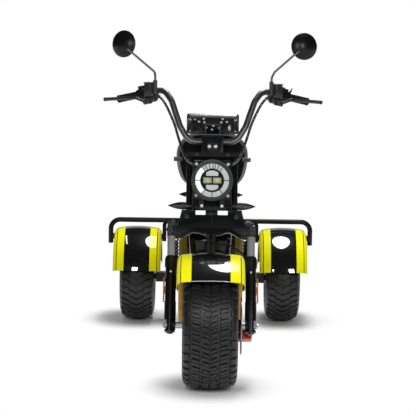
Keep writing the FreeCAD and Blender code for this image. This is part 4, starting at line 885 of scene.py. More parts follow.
class Stock:
    """Geometry of one piece in millimetres, gathered before it is finished.

    Attributes:
        MERGE: Distance under which two points become one.
        SLIVER: Length under which an edge is taken out.
    """

    MERGE = 0.002
    SLIVER = 0.001

    def __init__(self) -> None:
        """Starts with nothing."""
        self.bm = bmesh.new()

    def skin(
        self, rows: Sequence[Sequence[Vector]], around: bool = False, looped: bool = False,
        capped: bool = True, coat: int = 0,
    ) -> None:
        """Adds a skin through rows of points.

        Args:
            rows: Rows of equally many points.
            around: Whether each row closes on itself.
            looped: Whether the last row joins the first.
            capped: Whether closed end rows get a face.
            coat: Index of the piece's finish.
        """
        made = [[self.bm.verts.new(point) for point in row] for row in rows]
        count = len(made[0])
        pairs = list(zip(made, made[1:]))
        if looped:
            pairs.append((made[-1], made[0]))
        for here, there in pairs:
            for index in range(count if around else count - 1):
                follow = (index + 1) % count
                face = self.bm.faces.new((here[index], here[follow], there[follow], there[index]))
                face.material_index = coat
        if around and capped and not looped:
            for row in (made[0], made[-1]):
                self.bm.faces.new(row).material_index = coat

    def lathe(
        self, profile: Sequence[Pair], place: Matrix, steps: int = 40, looped: bool = False,
        coat: int = 0,
    ) -> None:
        """Turns a profile about the frame's z axis.

        Args:
            profile: Radius and height pairs.
            place: Frame of the axis.
            steps: Facets round the axis.
            looped: Whether the profile is a closed outline.
            coat: Index of the piece's finish.
        """
        rows = [
            [
                place @ Vector((r * math.cos(angle), r * math.sin(angle), height))
                for angle in turns(steps)
            ]
            for r, height in profile
        ]
        self.skin(rows, around=True, looped=looped, capped=False, coat=coat)

    def disc(self, radii: Sequence[float], steps: int) -> None:
        """A flat round sheet about the origin, with rings of points at the radii.

        Args:
            radii: Radii of the rings, from the inside out.
            steps: Number of points in a ring.
        """
        hub = self.bm.verts.new((0.0, 0.0, 0.0))
        rows = [
            [self.bm.verts.new((r * math.cos(a), r * math.sin(a), 0.0)) for a in turns(steps)]
            for r in radii
        ]
        for k in range(steps):
            follow = (k + 1) % steps
            self.bm.faces.new((hub, rows[0][k], rows[0][follow]))
            for inner, outer in zip(rows, rows[1:]):
                self.bm.faces.new((inner[k], outer[k], outer[follow], inner[follow]))

    def tube(
        self, points: Sequence[Vector], radius: float | Callable[[float, float], float],
        sides: int = 14, coat: int = 0,
    ) -> None:
        """Sweeps a round section along points.

        Args:
            points: Points of the middle line.
            radius: Radius, or a function of the length run and the angle.
            sides: Facets round the section.
            coat: Index of the piece's finish.
        """
        heading = (points[1] - points[0]).normalized()
        side = heading.orthogonal().normalized()
        rows = []
        run = 0.0
        for index, point in enumerate(points):
            before = points[max(index - 1, 0)]
            after = points[min(index + 1, len(points) - 1)]
            heading = (after - before).normalized()
            side = (side - heading * side.dot(heading)).normalized()
            other = heading.cross(side)
            if index:
                run += (point - before).length
            row = []
            for angle in turns(sides):
                reach = radius(run, angle) if callable(radius) else radius
                row.append(point + (side * math.cos(angle) + other * math.sin(angle)) * reach)
            rows.append(row)
        self.skin(rows, around=True, coat=coat)

    def block(self, low: Triple, high: Triple, place: Matrix, edge: float, coat: int = 0) -> None:
        """A block between two opposite corners with rounded edges.

        Args:
            low: One corner.
            high: The corner opposite.
            place: Frame of the corners.
            edge: Radius of the edges.
            coat: Index of the piece's finish.
        """
        first, last = Vector(map(min, low, high)), Vector(map(max, low, high))
        spread = Matrix.Translation((first + last) / 2) @ Matrix.Diagonal((*(last - first), 1.0))
        made = bmesh.ops.create_cube(self.bm, size=1.0, matrix=spread)
        self.rounded(made["verts"], place, edge, coat)

    def rounded(
        self, verts: Sequence[bmesh.types.BMVert], place: Matrix, edge: float, coat: int
    ) -> None:
        """Rounds the edges of a loose solid and puts it in its place.

        Args:
            verts: The solid's points.
            place: Frame that it goes to.
            edge: Radius of the edges.
            coat: Index of the piece's finish.
        """
        for face in {face for vert in verts for face in vert.link_faces}:
            face.material_index = coat
        edges = list({e for vert in verts for e in vert.link_edges})
        made = bmesh.ops.bevel(
            self.bm, geom=edges, offset=edge, segments=3, profile=0.5, affect="EDGES",
            clamp_overlap=True,
        )
        kept = {v for face in made["faces"] for v in face.verts} | {v for v in verts if v.is_valid}
        bmesh.ops.transform(self.bm, matrix=place, verts=list(kept))

    def prism(
        self, outline: Sequence[Pair], low: float, high: float, place: Matrix, edge: float
    ) -> None:
        """A flat outline raised along the frame's z axis.

        Args:
            outline: Corner pairs.
            low: Start height.
            high: End height.
            place: Frame of the outline.
            edge: Radius of the edges.
        """
        bottom = [self.bm.verts.new(Vector((x, y, low))) for x, y in outline]
        top = [self.bm.verts.new(Vector((x, y, high))) for x, y in outline]
        self.bm.faces.new(list(reversed(bottom)))
        self.bm.faces.new(top)
        for index in range(len(outline)):
            follow = (index + 1) % len(outline)
            self.bm.faces.new((bottom[index], bottom[follow], top[follow], top[index]))
        self.rounded(bottom + top, place, edge, 0)

    def bolt(
        self, seat: Vector, direction: Vector, size: float, head: BoltHead = BoltHead.SOCKET
    ) -> None:
        """A bolt head with its washer.

        Args:
            seat: Point on the surface under the head.
            direction: Way that the head stands out.
            size: Thread diameter.
            head: Kind of head.
        """
        place = along(seat, direction)
        r = size * 0.95
        washer = r * 1.25
        self.lathe([(0, -0.5), (washer, -0.5), (washer, 0.9), (0, 0.9)], place, 20)
        if head is BoltHead.HEX:
            tall = size * 0.72
            profile, facets = [(0, 0.5), (r, 0.5), (r, size * 0.62), (r * 0.9, tall), (0, tall)], 6
        elif head is BoltHead.SOCKET:
            tall = size * 0.9
            floor = tall * 0.45
            rim = [(r * 0.9, 0.5), (r * 0.9, tall - 0.6), (r * 0.8, tall), (r * 0.5, tall)]
            profile, facets = [(0, 0.5), *rim, (r * 0.46, floor), (0, floor)], 18
        else:
            crown = [(r * 0.9, size * 0.28), (r * 0.6, size * 0.46), (0.0, size * 0.52)]
            profile, facets = [(0, 0.5), (r, 0.5), *crown], 16
        self.lathe(profile, place, facets)

    def flip(self) -> None:
        """Mirrors everything so far to the other side."""
        for vert in self.bm.verts:
            vert.co.x = -vert.co.x

    def both(self) -> None:
        """Adds the mirror image of everything so far on the other side."""
        copy = bmesh.ops.duplicate(
            self.bm, geom=self.bm.verts[:] + self.bm.edges[:] + self.bm.faces[:]
        )
        verts = [g for g in copy["geom"] if isinstance(g, bmesh.types.BMVert)]
        faces = [g for g in copy["geom"] if isinstance(g, bmesh.types.BMFace)]
        for vert in verts:
            vert.co.x = -vert.co.x
        bmesh.ops.reverse_faces(self.bm, faces=faces)

    def piece(
        self, name: str, body: Body, *finishes: Finish, crease: float = 34.0,
        replaces: Iterable[str] = (),
    ) -> Piece:
        """Finishes the geometry as one piece that rides on a body.

        Args:
            name: The piece's name.
            body: Body that carries it.
            *finishes: Finishes by their index.
            crease: Angle in degrees above which an edge stays sharp.
            replaces: CAD nodes that the piece stands for.

        Returns:
            The new object.
        """
        bmesh.ops.remove_doubles(self.bm, verts=self.bm.verts, dist=self.MERGE)
        bmesh.ops.dissolve_degenerate(self.bm, dist=self.SLIVER, edges=self.bm.edges)
        bmesh.ops.recalc_face_normals(self.bm, faces=self.bm.faces)
        bmesh.ops.scale(self.bm, vec=(MM, MM, MM), verts=self.bm.verts)
        mesh = bpy.data.meshes.new(name)
        self.bm.to_mesh(mesh)
        self.bm.free()
        for finish in finishes:
            mesh.materials.append(finish.material())
        mesh.shade_smooth()
        mesh.set_sharp_from_angle(angle=math.radians(crease))
        made = shown(bpy.data.objects.new(name, mesh))
        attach(made, body.value)
        if replaces:
            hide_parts(*replaces)
        return made


def arc_through(first: Vector, middle: Vector, last: Vector, steps: int) -> list[Vector]:
    """Points of the flat arc through three flat points.

    Args:
        first: Start of the arc.
        middle: A point on it.
        last: End of the arc.
        steps: Runs between the points returned.

    Returns:
        The arc's points, both ends among them.
    """
    ax, ay, bx, by, cx, cy = *first, *middle, *last
    a2, b2, c2 = ax**2 + ay**2, bx**2 + by**2, cx**2 + cy**2
    d = 2 * (ax * (by - cy) + bx * (cy - ay) + cx * (ay - by))
    ux = (a2 * (by - cy) + b2 * (cy - ay) + c2 * (ay - by)) / d
    uy = (a2 * (cx - bx) + b2 * (ax - cx) + c2 * (bx - ax)) / d
    centre = Vector((ux, uy))
    radius = (first - centre).length
    start = math.atan2(ay - uy, ax - ux)
    sweep = math.remainder(math.atan2(cy - uy, cx - ux) - start, FULL_TURN)
    through = math.remainder(math.atan2(by - uy, bx - ux) - start, FULL_TURN)
    if sweep * through < 0:
        sweep -= math.copysign(FULL_TURN, sweep)
    angles = [start + sweep * index / steps for index in range(steps + 1)]
    return [centre + radius * Vector((math.cos(a), math.sin(a))) for a in angles]


def rounded_path(points: Sequence[Vector], radius: float, steps: int = 8) -> list[Vector]:
    """Runs between the points with round bends, for a bent bar.

    Args:
        points: Corner points.
        radius: Bend radius.
        steps: Runs in each bend.

    Returns:
        Points along the bar's middle line.
    """
    line = [points[0]]
    for before, corner, after in zip(points, points[1:], points[2:]):
        back = (before - corner).normalized()
        ahead = (after - corner).normalized()
        turn = math.pi - back.angle(ahead)
        cut = min(
            radius * math.tan(turn / 2),
            0.45 * min((before - corner).length, (after - corner).length),
        )
        for index in range(steps + 1):
            share = index / steps
            first = corner + back * cut * (1 - share)
            second = corner + ahead * cut * share
            line.append(first.lerp(second, share))
    line.append(points[-1])
    return line


class Tread(Enum):
    """Tread patterns."""

    BLOCKS = "blocks"
    CHEVRONS = "chevrons"


@dataclass
class Tyre:
    """A tyre with raised tread, about an axle along X.

    Attributes:
        name: Name of the piece.
        node: CAD node that it stands for.
        body: Wheel that carries it.
        place: The wheel's frame.
        outer_d: Diameter over the tread.
        width: Width of the sidewalls.
        tread_w: Width of the crown.
        rim_d: Diameter at the beads.
        rim_w: Width between the beads.
        tread: Pattern of the tread.
        pitches: Repeats of the pattern round the tyre.
        depth: Depth of the grooves.
        drop: How far the crown's edge lies below its middle.
        flange: Height above the bead where the wall ends.
        bevel: Height of the bevel round each tread block.
        draft: How much wider a block is at its foot.
        line: The section's outside: lengths from the crown with their points.
    """

    name: str
    node: str
    body: Body
    place: Matrix
    outer_d: float
    width: float
    tread_w: float
    rim_d: float
    rim_w: float
    tread: Tread
    pitches: int
    depth: float = 8.0
    drop: float = 13.0
    flange: float = 10.0
    bevel: float = 1.1
    draft: float = 1.0
    line: list[tuple[float, Vector]] = field(default_factory=list)

    def trace(self) -> None:
        """Works out the outside of one half of the section, from the crown to the bead."""
        outer = self.outer_d / 2
        bead = self.rim_d / 2
        shoulder = outer - self.drop
        half = self.tread_w / 2
        edge = Vector((half, shoulder))
        crown = arc_through(Vector((-half, shoulder)), Vector((0, outer)), edge, 40)[20:]
        widest = Vector((self.width / 2, (shoulder + bead) / 2))
        foot = Vector((self.rim_w / 2, bead + self.flange))
        points = crown + arc_through(crown[-1], widest, foot, 20)[1:]
        run = 0.0
        self.line = [(0.0, points[0])]
        for before, after in zip(points, points[1:]):
            run += (after - before).length
            self.line.append((run, after))

    def surface(self, out: float, lift: float) -> Vector:
        """A flat point of the section, from its distance along the outside and its lift.

        Args:
            out: Distance along the outside from the crown.
            lift: Height above the outside.

        Returns:
            The point.
        """
        for (start, first), (end, second) in zip(self.line, self.line[1:]):
            if out <= end or second is self.line[-1][1]:
                share = (out - start) / (end - start)
                tangent = (second - first).normalized()
                return first.lerp(second, share) + Vector((-tangent.y, tangent.x)) * lift
        raise ValueError(out)

    def around(self, flat: Vector, angle: float, side: int = 1) -> Vector:
        """Turns a flat point of the section round the axle; an angle of zero is foremost."""
        return self.place @ Vector(
            (side * flat.x, -flat.y * math.cos(angle), flat.y * math.sin(angle))
        )

    def lug(
        self, stock: Stock, span: Pair, low: Pair, high: Pair, turn: float, side: int
    ) -> None:
        """One tread block with a bevelled top and drafted walls.

        Args:
            stock: Geometry that it joins.
            span: Where it starts and ends across the tyre.
            low: Its lower edge round the tyre at both ends of the span.
            high: Its upper edge round the tyre at both ends of the span.
            turn: Angle of its pitch.
            side: Side of the crown.
        """
        bevel, draft, foot = self.bevel, self.draft, -self.depth - 1
        length = span[1] - span[0]
        middle = max(1, round(length / 9))
        flat_part = length - 2 * bevel - 2 * draft
        inner = [bevel + draft + flat_part * index / middle for index in range(middle + 1)]
        outs = [0.0, draft] + inner + [length - draft, length]
        lifts = [foot, -bevel] + [0.0] * len(inner) + [-bevel, foot]
        rows = []
        for out, lift in zip(outs, lifts):
            share = out / length
            bottom = low[0] + (low[1] - low[0]) * share
            tall = high[0] + (high[1] - high[0]) * share - bottom
            steps = [0.0, draft, draft + bevel, tall - draft - bevel, tall - draft, tall]
            row = []
            for step, height in zip(steps, (foot, -bevel, 0.0, 0.0, -bevel, foot)):
                flat = self.surface(span[0] + out, min(lift, height))
                row.append(self.around(flat, turn + (bottom + step) / (self.outer_d / 2), side))
            rows.append(row)
        stock.skin(rows)

    def carcass(self, stock: Stock) -> None:
        """The tyre's body under the tread, with a bead line on each wall.

        Args:
            stock: The mesh to add to.
        """
        end = self.line[-1][0]
        crown = self.tread_w / 2
        half = []
        steps = 26
        for index in range(steps + 1):
            out = end * index / steps
            fade = min(1.0, max(0.0, (out - crown - 4) / 30))
            half.append(self.surface(out, -self.depth * (1 - fade)))
        half.append(Vector((self.rim_w / 2, self.rim_d / 2)))
        bead = Vector((self.rim_w / 2 - 11, self.rim_d / 2))
        wall = Vector((self.width / 2 - 14, (self.rim_d + self.outer_d) / 4))
        inner = [bead, wall, Vector((0, self.outer_d / 2 - self.depth - 9))]
        outline = mirrored(reversed(half)) + half[1:] + inner + mirrored(reversed(inner[:-1]))
        rows = [[self.around(point, angle) for angle in turns(108)] for point in outline]
        stock.skin(rows, around=True, looped=True)

    def rings(self, stock: Stock) -> None:
        """Two thin raised lines round each sidewall.

        Args:
            stock: The mesh to add to.
        """
        end = self.line[-1][0]
        for share in (0.72, 0.9):
            for side in SIDES:
                rows = []
                for out, lift in ((-1.6, -0.6), (-0.5, 1.0), (0.5, 1.0), (1.6, -0.6)):
                    flat = self.surface(end * share + out, lift)
                    rows.append([self.around(flat, angle, side) for angle in turns(96)])
                stock.skin(rows, around=True, capped=False)

    def blocks(self, pitch: float, edge: float, index: int) -> list[Lug]:
        """Off-road tread: two staggered rows each side of the middle and long shoulder lugs.

        Args:
            pitch: Length of a pitch round the crown.
            edge: Distance from the crown to the shoulder.
            index: Number of the pitch.

        Returns:
            The lugs of one side.
        """
        rise = 0.36 * 0.36 * edge
        start = 0.34 * pitch
        reach = 1.36 if index % 2 else 1.24
        return [
            ((2.0, 0.36 * edge), (0.0, rise), (0.42 * pitch, rise + 0.36 * pitch)),
            (
                (2.0, 0.3 * edge), (0.45 * pitch, rise + 0.4 * pitch),
                (0.82 * pitch, rise + 0.74 * pitch),
            ),
            (
                (0.42 * edge, 0.82 * edge), (start, start + 0.24 * pitch),
                (start + 0.4 * pitch, start + 0.6 * pitch),
            ),
            (
                (0.42 * edge, 0.78 * edge), (start + 0.43 * pitch, start + 0.64 * pitch),
                (start + 0.78 * pitch, start + 0.98 * pitch),
            ),
            ((0.88 * edge, reach * edge), (0.1 * pitch, 0.16 * pitch), (0.78 * pitch, 0.7 * pitch)),
        ]

    def chevrons(self, pitch: float, edge: float) -> list[Lug]:
        """Road tread of pointed ribs that meet at the middle, with shoulder bars between them.

        Args:
            pitch: Length of a pitch round the crown.
            edge: Distance from the crown to the shoulder.

        Returns:
            The lugs of one side.
        """
        return [
            ((-1.2, 0.46 * edge), (0.0, 0.55 * pitch), (0.62 * pitch, 1.12 * pitch)),
            ((0.52 * edge, 0.96 * edge), (0.7 * pitch, 1.0 * pitch), (1.3 * pitch, 1.58 * pitch)),
            ((1.03 * edge, 1.32 * edge), (0.0, 0.08 * pitch), (0.6 * pitch, 0.56 * pitch)),
        ]

    def pattern(self, stock: Stock) -> None:
        """The tread, pitch by pitch on both sides of the crown.

        Args:
            stock: The mesh to add to.
        """
        pitch = math.pi * self.outer_d / self.pitches
        edge = self.tread_w / 2
        blocks = self.tread is Tread.BLOCKS
        for index in range(self.pitches):
            lugs = self.blocks(pitch, edge, index) if blocks else self.chevrons(pitch, edge)
            for side in SIDES:
                stagger = 0.5 if blocks and side < 0 else 0.0
                turn = FULL_TURN * (index + stagger) / self.pitches
                for span, low, high in lugs:
                    self.lug(stock, span, low, high, turn, side)

    def build(self) -> list[Piece]:
        """Builds the tyre.

        Returns:
            The finished pieces.
        """
        self.trace()
        stock = Stock()
        self.carcass(stock)
        self.rings(stock)
        self.pattern(stock)
        return [stock.piece(self.name, self.body, Store.TYRE, crease=40.0, replaces=[self.node])]


@dataclass
class Fender:
    """A fender shell over a wheel, with a low crown and round shoulders.

    Attributes:
        name: Name of the piece.
        nodes: CAD nodes that it stands for.
        body: Body that carries it.
        place: The wheel's frame.
        radius: Radius at the crown.
        width: Width over the sides.
        fore: Degrees ahead of the top.
        aft: Degrees behind the top.
        finish: Paint of the outside.
        lip: Half width of the pale strip along the lower front edge, a painted highlight on the
            shell's edge, none if zero.
        wall: Thickness of the shell.
        crown: How far the shoulders' tops lie below the crown.
        shoulder: Radius of the shoulders.
        side: Depth of the sides below the crown.
        step: Degrees between the rows of points.
    """

    name: str
    nodes: Sequence[str]
    body: Body
    place: Matrix
    radius: float
    width: float
    fore: float
    aft: float
    finish: Finish
    lip: float = 0.0
    wall: float = 3.0
    crown: float = 7.0
    shoulder: float = 26.0
    side: float = 58.0
    step: float = 1.5

    def section(self) -> list[Vector]:
        """Outside of the section as flat points, from the left side to the right.

        Returns:
            The points.
        """
        half = self.width / 2
        edge = self.radius - self.crown
        low = edge - self.shoulder
        bulge = self.shoulder * (1 - math.sqrt(0.5))
        start, end = Vector((-half + self.shoulder, edge)), Vector((half - self.shoulder, edge))
        corner = arc_through(Vector((-half, low)), Vector((-half + bulge, edge - bulge)), start, 8)
        top = arc_through(start, Vector((0, self.radius)), end, 20)
        foot = self.radius - self.side
        left = [Vector((-half, foot)), Vector((-half, (low + foot) / 2))] + corner
        return left + top[1:] + mirrored(reversed(left[:-1]))

    def around(self, flat: Vector, angle: float) -> Vector:
        """Turns a flat point round the axle; zero is the top and positive is forward."""
        return self.place @ Vector((flat.x, -flat.y * math.sin(angle), flat.y * math.cos(angle)))

    def build(self) -> list[Piece]:
        """Builds the shell, its edges closed flat, and, if it has one, the pale lip strip, a
        painted highlight along the lower front edge.

        Returns:
            The finished pieces.
        """
        outside = self.section()
        scale = (self.width - 2 * self.wall) / self.width
        inside = [Vector((p.x * scale, p.y - self.wall)) for p in outside]
        reach = self.fore + self.aft
        steps = round(reach / self.step)
        angles = [math.radians(-self.aft + reach * index / steps) for index in range(steps + 1)]
        stock = Stock()
        outer_rows = [[self.around(p, angle) for p in outside] for angle in angles]
        inner_rows = [[self.around(p, angle) for p in inside] for angle in angles]
        stock.skin(outer_rows)
        stock.skin(inner_rows, coat=1)
        for column in (0, -1):
            stock.skin([[row[column] for row in outer_rows], [row[column] for row in inner_rows]])
        for row in (0, -1):
            stock.skin([outer_rows[row], inner_rows[row]])
        paints = (self.finish, Store.PLASTIC)
        made = [stock.piece(self.name, self.body, *paints, crease=40.0, replaces=self.nodes)]
        # The lip is a pale zinc tube laid along the lower front edge as a painted highlight.
        if self.lip:
            stock = Stock()
            edge = [p for p in outside if abs(p.x) <= self.lip]
            stock.tube([self.around(p + Vector((0, 0.2)), angles[-1]) for p in edge], 1.3, 10)
            made.append(stock.piece(self.name + "_lip", self.body, Store.ZINC))
        return made


@dataclass
class Headlamp:
    """Round lamp: bezel, segmented light ring and a middle with two projectors.

    Attributes:
        place: Frame of the lamp, z towards the front.
        ring_out: Outer radius of the light ring.
        ring_in: Inner radius of the light ring.
        core_r: Radius of the middle.
        gap: Gap between two segments.
        floor: Height of the segments' undersides.
        spokes: Angles of the bars between the segments.
        plain: Ends of the plain segments, in degrees.
        ribbed: Ends of the long ribbed segments, in degrees.
        cuts: Angles between the short segments at the top.
    """

    place: Matrix
    ring_out: float = 65.2
    ring_in: float = 46.0
    core_r: float = 41.0
    gap: float = 2.6
    floor: float = -10.5
    spokes: Sequence[int] = (0, 52, 128, 180, 232, 270, 308)
    plain: Sequence[tuple[int, int]] = ((128, 180), (180, 232))
    ribbed: Sequence[tuple[int, int]] = ((232, 270), (270, 308), (308, 360), (0, 52))
    cuts: Sequence[int] = (52, 66, 79, 88, 101, 115, 128)

    def sector(self, stock: Stock, start: float, end: float, high: float) -> None:
        """One piece of the light ring between two angles in degrees, up to a height.

        Args:
            stock: The mesh to add to.
            start: First angle.
            end: Last angle.
            high: Height of its face.
        """
        steps = max(2, round(abs(end - start) / 5))
        outline = []
        for radius, first, last in ((self.ring_out, start, end), (self.ring_in, end, start)):
            trim = math.copysign(math.degrees(self.gap / 2 / radius), last - first)
            sweep = last - first - 2 * trim
            for index in range(steps + 1):
                angle = math.radians(first + trim + sweep * index / steps)
                outline.append((radius * math.cos(angle), radius * math.sin(angle)))
        stock.prism(outline, self.floor, high, self.place, 0.9)

    def moon(self, stock: Stock, chord: float, sign: int) -> None:
        """A half-moon reflector above or below the projectors.

        Args:
            stock: The mesh to add to.
            chord: Distance of its straight side from the middle.
            sign: 1 above, -1 below.
        """
        radius, half = self.core_r - 2.5, 23.5
        spread = math.asin(half / radius)
        outline = [(-half, sign * chord)]
        for index in range(13):
            angle = -spread + 2 * spread * index / 12
            outline.append((radius * math.sin(angle), sign * radius * math.cos(angle)))
        outline.append((half, sign * chord))
        stock.prism(outline, self.floor, -5.0, self.place, 1.0)

    def bucket(self) -> Piece:
        """The bowl with its bezel, a raised line and notches round the rim.

        Returns:
            The piece.
        """
        stock = Stock()
        back = arc_through(Vector((70, -42)), Vector((60, -74)), Vector((30, -96)), 8)
        front = [
            (0, -12), (67, -12), (67, -3), (68.6, -0.9), (71.5, 0), (78.4, 0), (79.6, -0.6),
            (80, -2), (80, -16), (70, -22),
        ]
        stock.lathe(front + [(p.x, p.y) for p in back] + [(0, -96)], self.place, 72)
        stock.lathe([(73.2, -0.4), (73.6, 0.9), (75.6, 0.9), (76, -0.4)], self.place, 72)
        for angle in turns(36):
            frame = self.place @ Matrix.Rotation(angle, 4, "Z")
            stock.block((79.2, -1.6, -14), (80, 1.6, -5), frame, 0.3)
        return stock.piece(
            "headlamp_bucket", Body.HEAD, Store.LAMP_DARK, replaces=["headlight_housing"]
        )

    def grid(self) -> Piece:
        """The dark floor with its ring, spokes and the frame round the projectors.

        Returns:
            The piece.
        """
        stock = Stock()
        stock.lathe([(0, -12.5), (66.8, -12.5), (66.8, -10.6), (0, -10.6)], self.place, 72)
        ring = [(41.5, -10.8), (41.5, -4.6), (42.2, -4.0), (44.4, -4.0), (45, -4.6), (45, -10.8)]
        stock.lathe(ring, self.place, 72)
        for angle in self.spokes:
            stock.block((44, -0.8, -10.8), (66.5, 0.8, -4.4), self.place @ spun(angle, "Z"), 0.3)
        for y in (-13.2, 13.2):
            reach = math.sqrt(41.5**2 - y**2)
            stock.block((-reach, y - 1.1, -10.8), (reach, y + 1.1, -4.2), self.place, 0.4)
        stock.block((-1.3, -13, -10.8), (1.3, 13, -4.2), self.place, 0.4)
        return stock.piece(
            "headlamp_frame", Body.HEAD, Store.SMOOTH_PLASTIC, replaces=["headlight_lens"]
        )

    def segments(self) -> list[Piece]:
        """The plain and the ribbed parts of the light ring, with the half-moons.

        Returns:
            The plain piece and the ribbed one.
        """
        ribbed, plain = Stock(), Stock()
        for start, end in self.plain:
            self.sector(plain, start, end, -5.2)
        for sign in (1, -1):
            self.moon(ribbed, 17.5, sign)
        made = [plain.piece("headlamp_plain_segments", Body.HEAD, Store.LAMP_WHITE)]
        for start, end in self.ribbed:
            self.sector(ribbed, start, end, -5.6)
            for angle in range(start + 6, end - 3, 6):
                frame = self.place @ spun(angle, "Z")
                ribbed.block((48, -1.2, -6), (63, 1.2, -4.7), frame, 0.4)
        for start, end in zip(self.cuts, self.cuts[1:]):
            self.sector(ribbed, start, end, -5.2)
        return made + [ribbed.piece("headlamp_ribbed_segments", Body.HEAD, Store.LAMP_TEXTURED)]

    def projectors(self) -> Piece:
        """The two domed lenses on their square seats.

        Returns:
            The piece.
        """
        stock = Stock()
        quarter = [math.pi / 2 * index / 8 for index in range(9)]
        dome = [(11.5 * math.sin(angle), -9.5 + 5.5 * math.cos(angle)) for angle in quarter]
        for x in (-18.5, 18.5):
            frame = self.place @ moved(x, 0, 0)
            stock.lathe(dome + [(12.5, -9.8), (12.5, -10.8), (0, -10.8)], frame, 36)
            stock.block((-15.5, -11.5, -11), (16.5, 11.5, -9.4), frame, 0.6)
        return stock.piece("headlamp_projectors", Body.HEAD, Store.PROJECTOR)

    def build(self) -> list[Piece]:
        """Builds the lamp.

        Returns:
            The finished pieces.
        """
        made = [self.bucket(), self.grid(), *self.segments(), self.projectors()]
        screws = Stock()
        ahead = self.place.to_3x3() @ UP
        for x in (-61, 61):
            for y in (-61, 61):
                screws.bolt(self.place @ Vector((x, y, -24)), ahead, 5, BoltHead.DOME)
        return made + [screws.piece("headlamp_screws", Body.HEAD, Store.TRIM)]


@dataclass
class Signals:
    """A pair of leaf-shaped signals with pale lenses in dark shells.

    Attributes:
        name: Name of the pieces.
        nodes: CAD nodes that they stand for.
        body: Body that carries them.
        inner: Inner end of the left pod.
        outer: Distance of its tip from the centre plane.
        facing: Way that the lenses look.
        neck: Where the stalk joins its bracket, if it has one.
        radius: Radius of the pods at their widest.
    """

    name: str
    nodes: Sequence[str]
    body: Body
    inner: Vector
    outer: float
    facing: Vector
    neck: Optional[Vector] = None
    radius: float = 14.5

    def leaf(self, length: float, radius: float) -> list[Pair]:
        """Radius and length pairs of the pod's outline.

        Args:
            length: Length of the pod.
            radius: Its widest radius.

        Returns:
            The outline.
        """
        pairs = []
        for index in range(25):
            share = index / 24
            swell = math.sin(math.pi * share**0.96) ** 0.8 if 0 < share < 1 else 0.0
            pairs.append((max(radius * swell, 0.11 * radius), length * share))
        return [(0.0, 0.0)] + pairs + [(0.0, length)]

    def build(self) -> list[Piece]:
        """Builds both pods.

        Returns:
            The shell piece and the lens piece.
        """
        length = self.outer - self.inner.x
        shell, lens = Stock(), Stock()
        shell.lathe(self.leaf(length, self.radius), along(self.inner, OUT), 32)
        if self.neck is not None:
            shell.tube([self.inner + OUT * 10, self.neck], 4.0, 14)
        start = self.inner + OUT * (length * 0.13) + self.facing * (self.radius * 0.5)
        lens.lathe(self.leaf(length * 0.76, self.radius * 0.62), along(start, OUT), 32)
        shell.both()
        lens.both()
        return [
            shell.piece(
                self.name + "_shells", self.body, Store.SMOOTH_PLASTIC, replaces=self.nodes
            ),
            lens.piece(self.name + "_lenses", self.body, Store.SIGNAL_LENS),
        ]


@dataclass
class Cord:
    """A flexible line along its own route, with crimped sleeves at both ends.

    Attributes:
        name: Name of the piece.
        route: Control points of the line.
        radius: Radius over the outside.
        wrap: Pitch of the spiral wrap round it, none if zero.
        finish: Finish of the line.
        nodes: CAD nodes that it stands for.
        sleeve: Length of the sleeves.
    """

    name: str
    route: Sequence[Vector]
    radius: float
    wrap: float
    finish: Finish
    nodes: Sequence[str] = ()
    sleeve: float = 15.0

    def line(self) -> list[Vector]:
        """The line as a spline through space, read back as points.

        Returns:
            Points along the line.
        """
        curve = bpy.data.curves.new(self.name + "_line", "CURVE")
        curve.dimensions = "3D"
        curve.resolution_u = 30
        spline = curve.splines.new("NURBS")
        spline.points.add(len(self.route) - 1)
        for slot, point in zip(spline.points, self.route):
            slot.co = (*point, 1.0)
        spline.order_u = 3
        spline.use_endpoint_u = True
        guide = bpy.data.objects.new(self.name + "_line", curve)
        drawn = bpy.data.meshes.new_from_object(guide)
        points = [vert.co.copy() for vert in drawn.vertices]
        bpy.data.objects.remove(guide)
        bpy.data.meshes.remove(drawn)
        bpy.data.curves.remove(curve)
        return points

    def reach(self, run: float, angle: float) -> float:
        """Radius at a length run and an angle, with the strip of the spiral wrap standing out.

        Args:
            run: Length from the start.
            angle: Angle round the line.

        Returns:
            The radius.
        """
        if not self.wrap:
            return self.radius
        ridge = abs(math.sin(math.pi * run / self.wrap - angle / 2))
        return self.radius - 1.0 + min(1.0, 1.7 * ridge)

    def build(self) -> list[Piece]:
        """Builds the line and the crimped sleeves at its ends.

        Returns:
            The finished pieces.
        """
        line = self.line()
        stock = Stock()
        stock.tube(line, self.reach, 16)
        cord = stock.piece(self.name, Body.HEAD, self.finish, replaces=self.nodes)
        ends = Stock()
        r, end = self.radius, self.sleeve
        collar = [(0, -1), (r + 1.2, -1), (r + 2, 0), (r + 2, 4), (r + 1, 5)]
        outline = collar + [(r + 1, end - 1), (r - 0.5, end), (0, end)]
        for start, after in ((line[0], line[6]), (line[-1], line[-7])):
            ends.lathe(outline, along(start, after - start), 20)
        sleeves = ends.piece(self.name + "_sleeves", Body.HEAD, Store.FITTING)
        path = [tuple(point * MM) for point in line]
        length = sum((b - a).length for a, b in zip(line, line[1:])) * MM
        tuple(path[0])
        return [cord, sleeves]


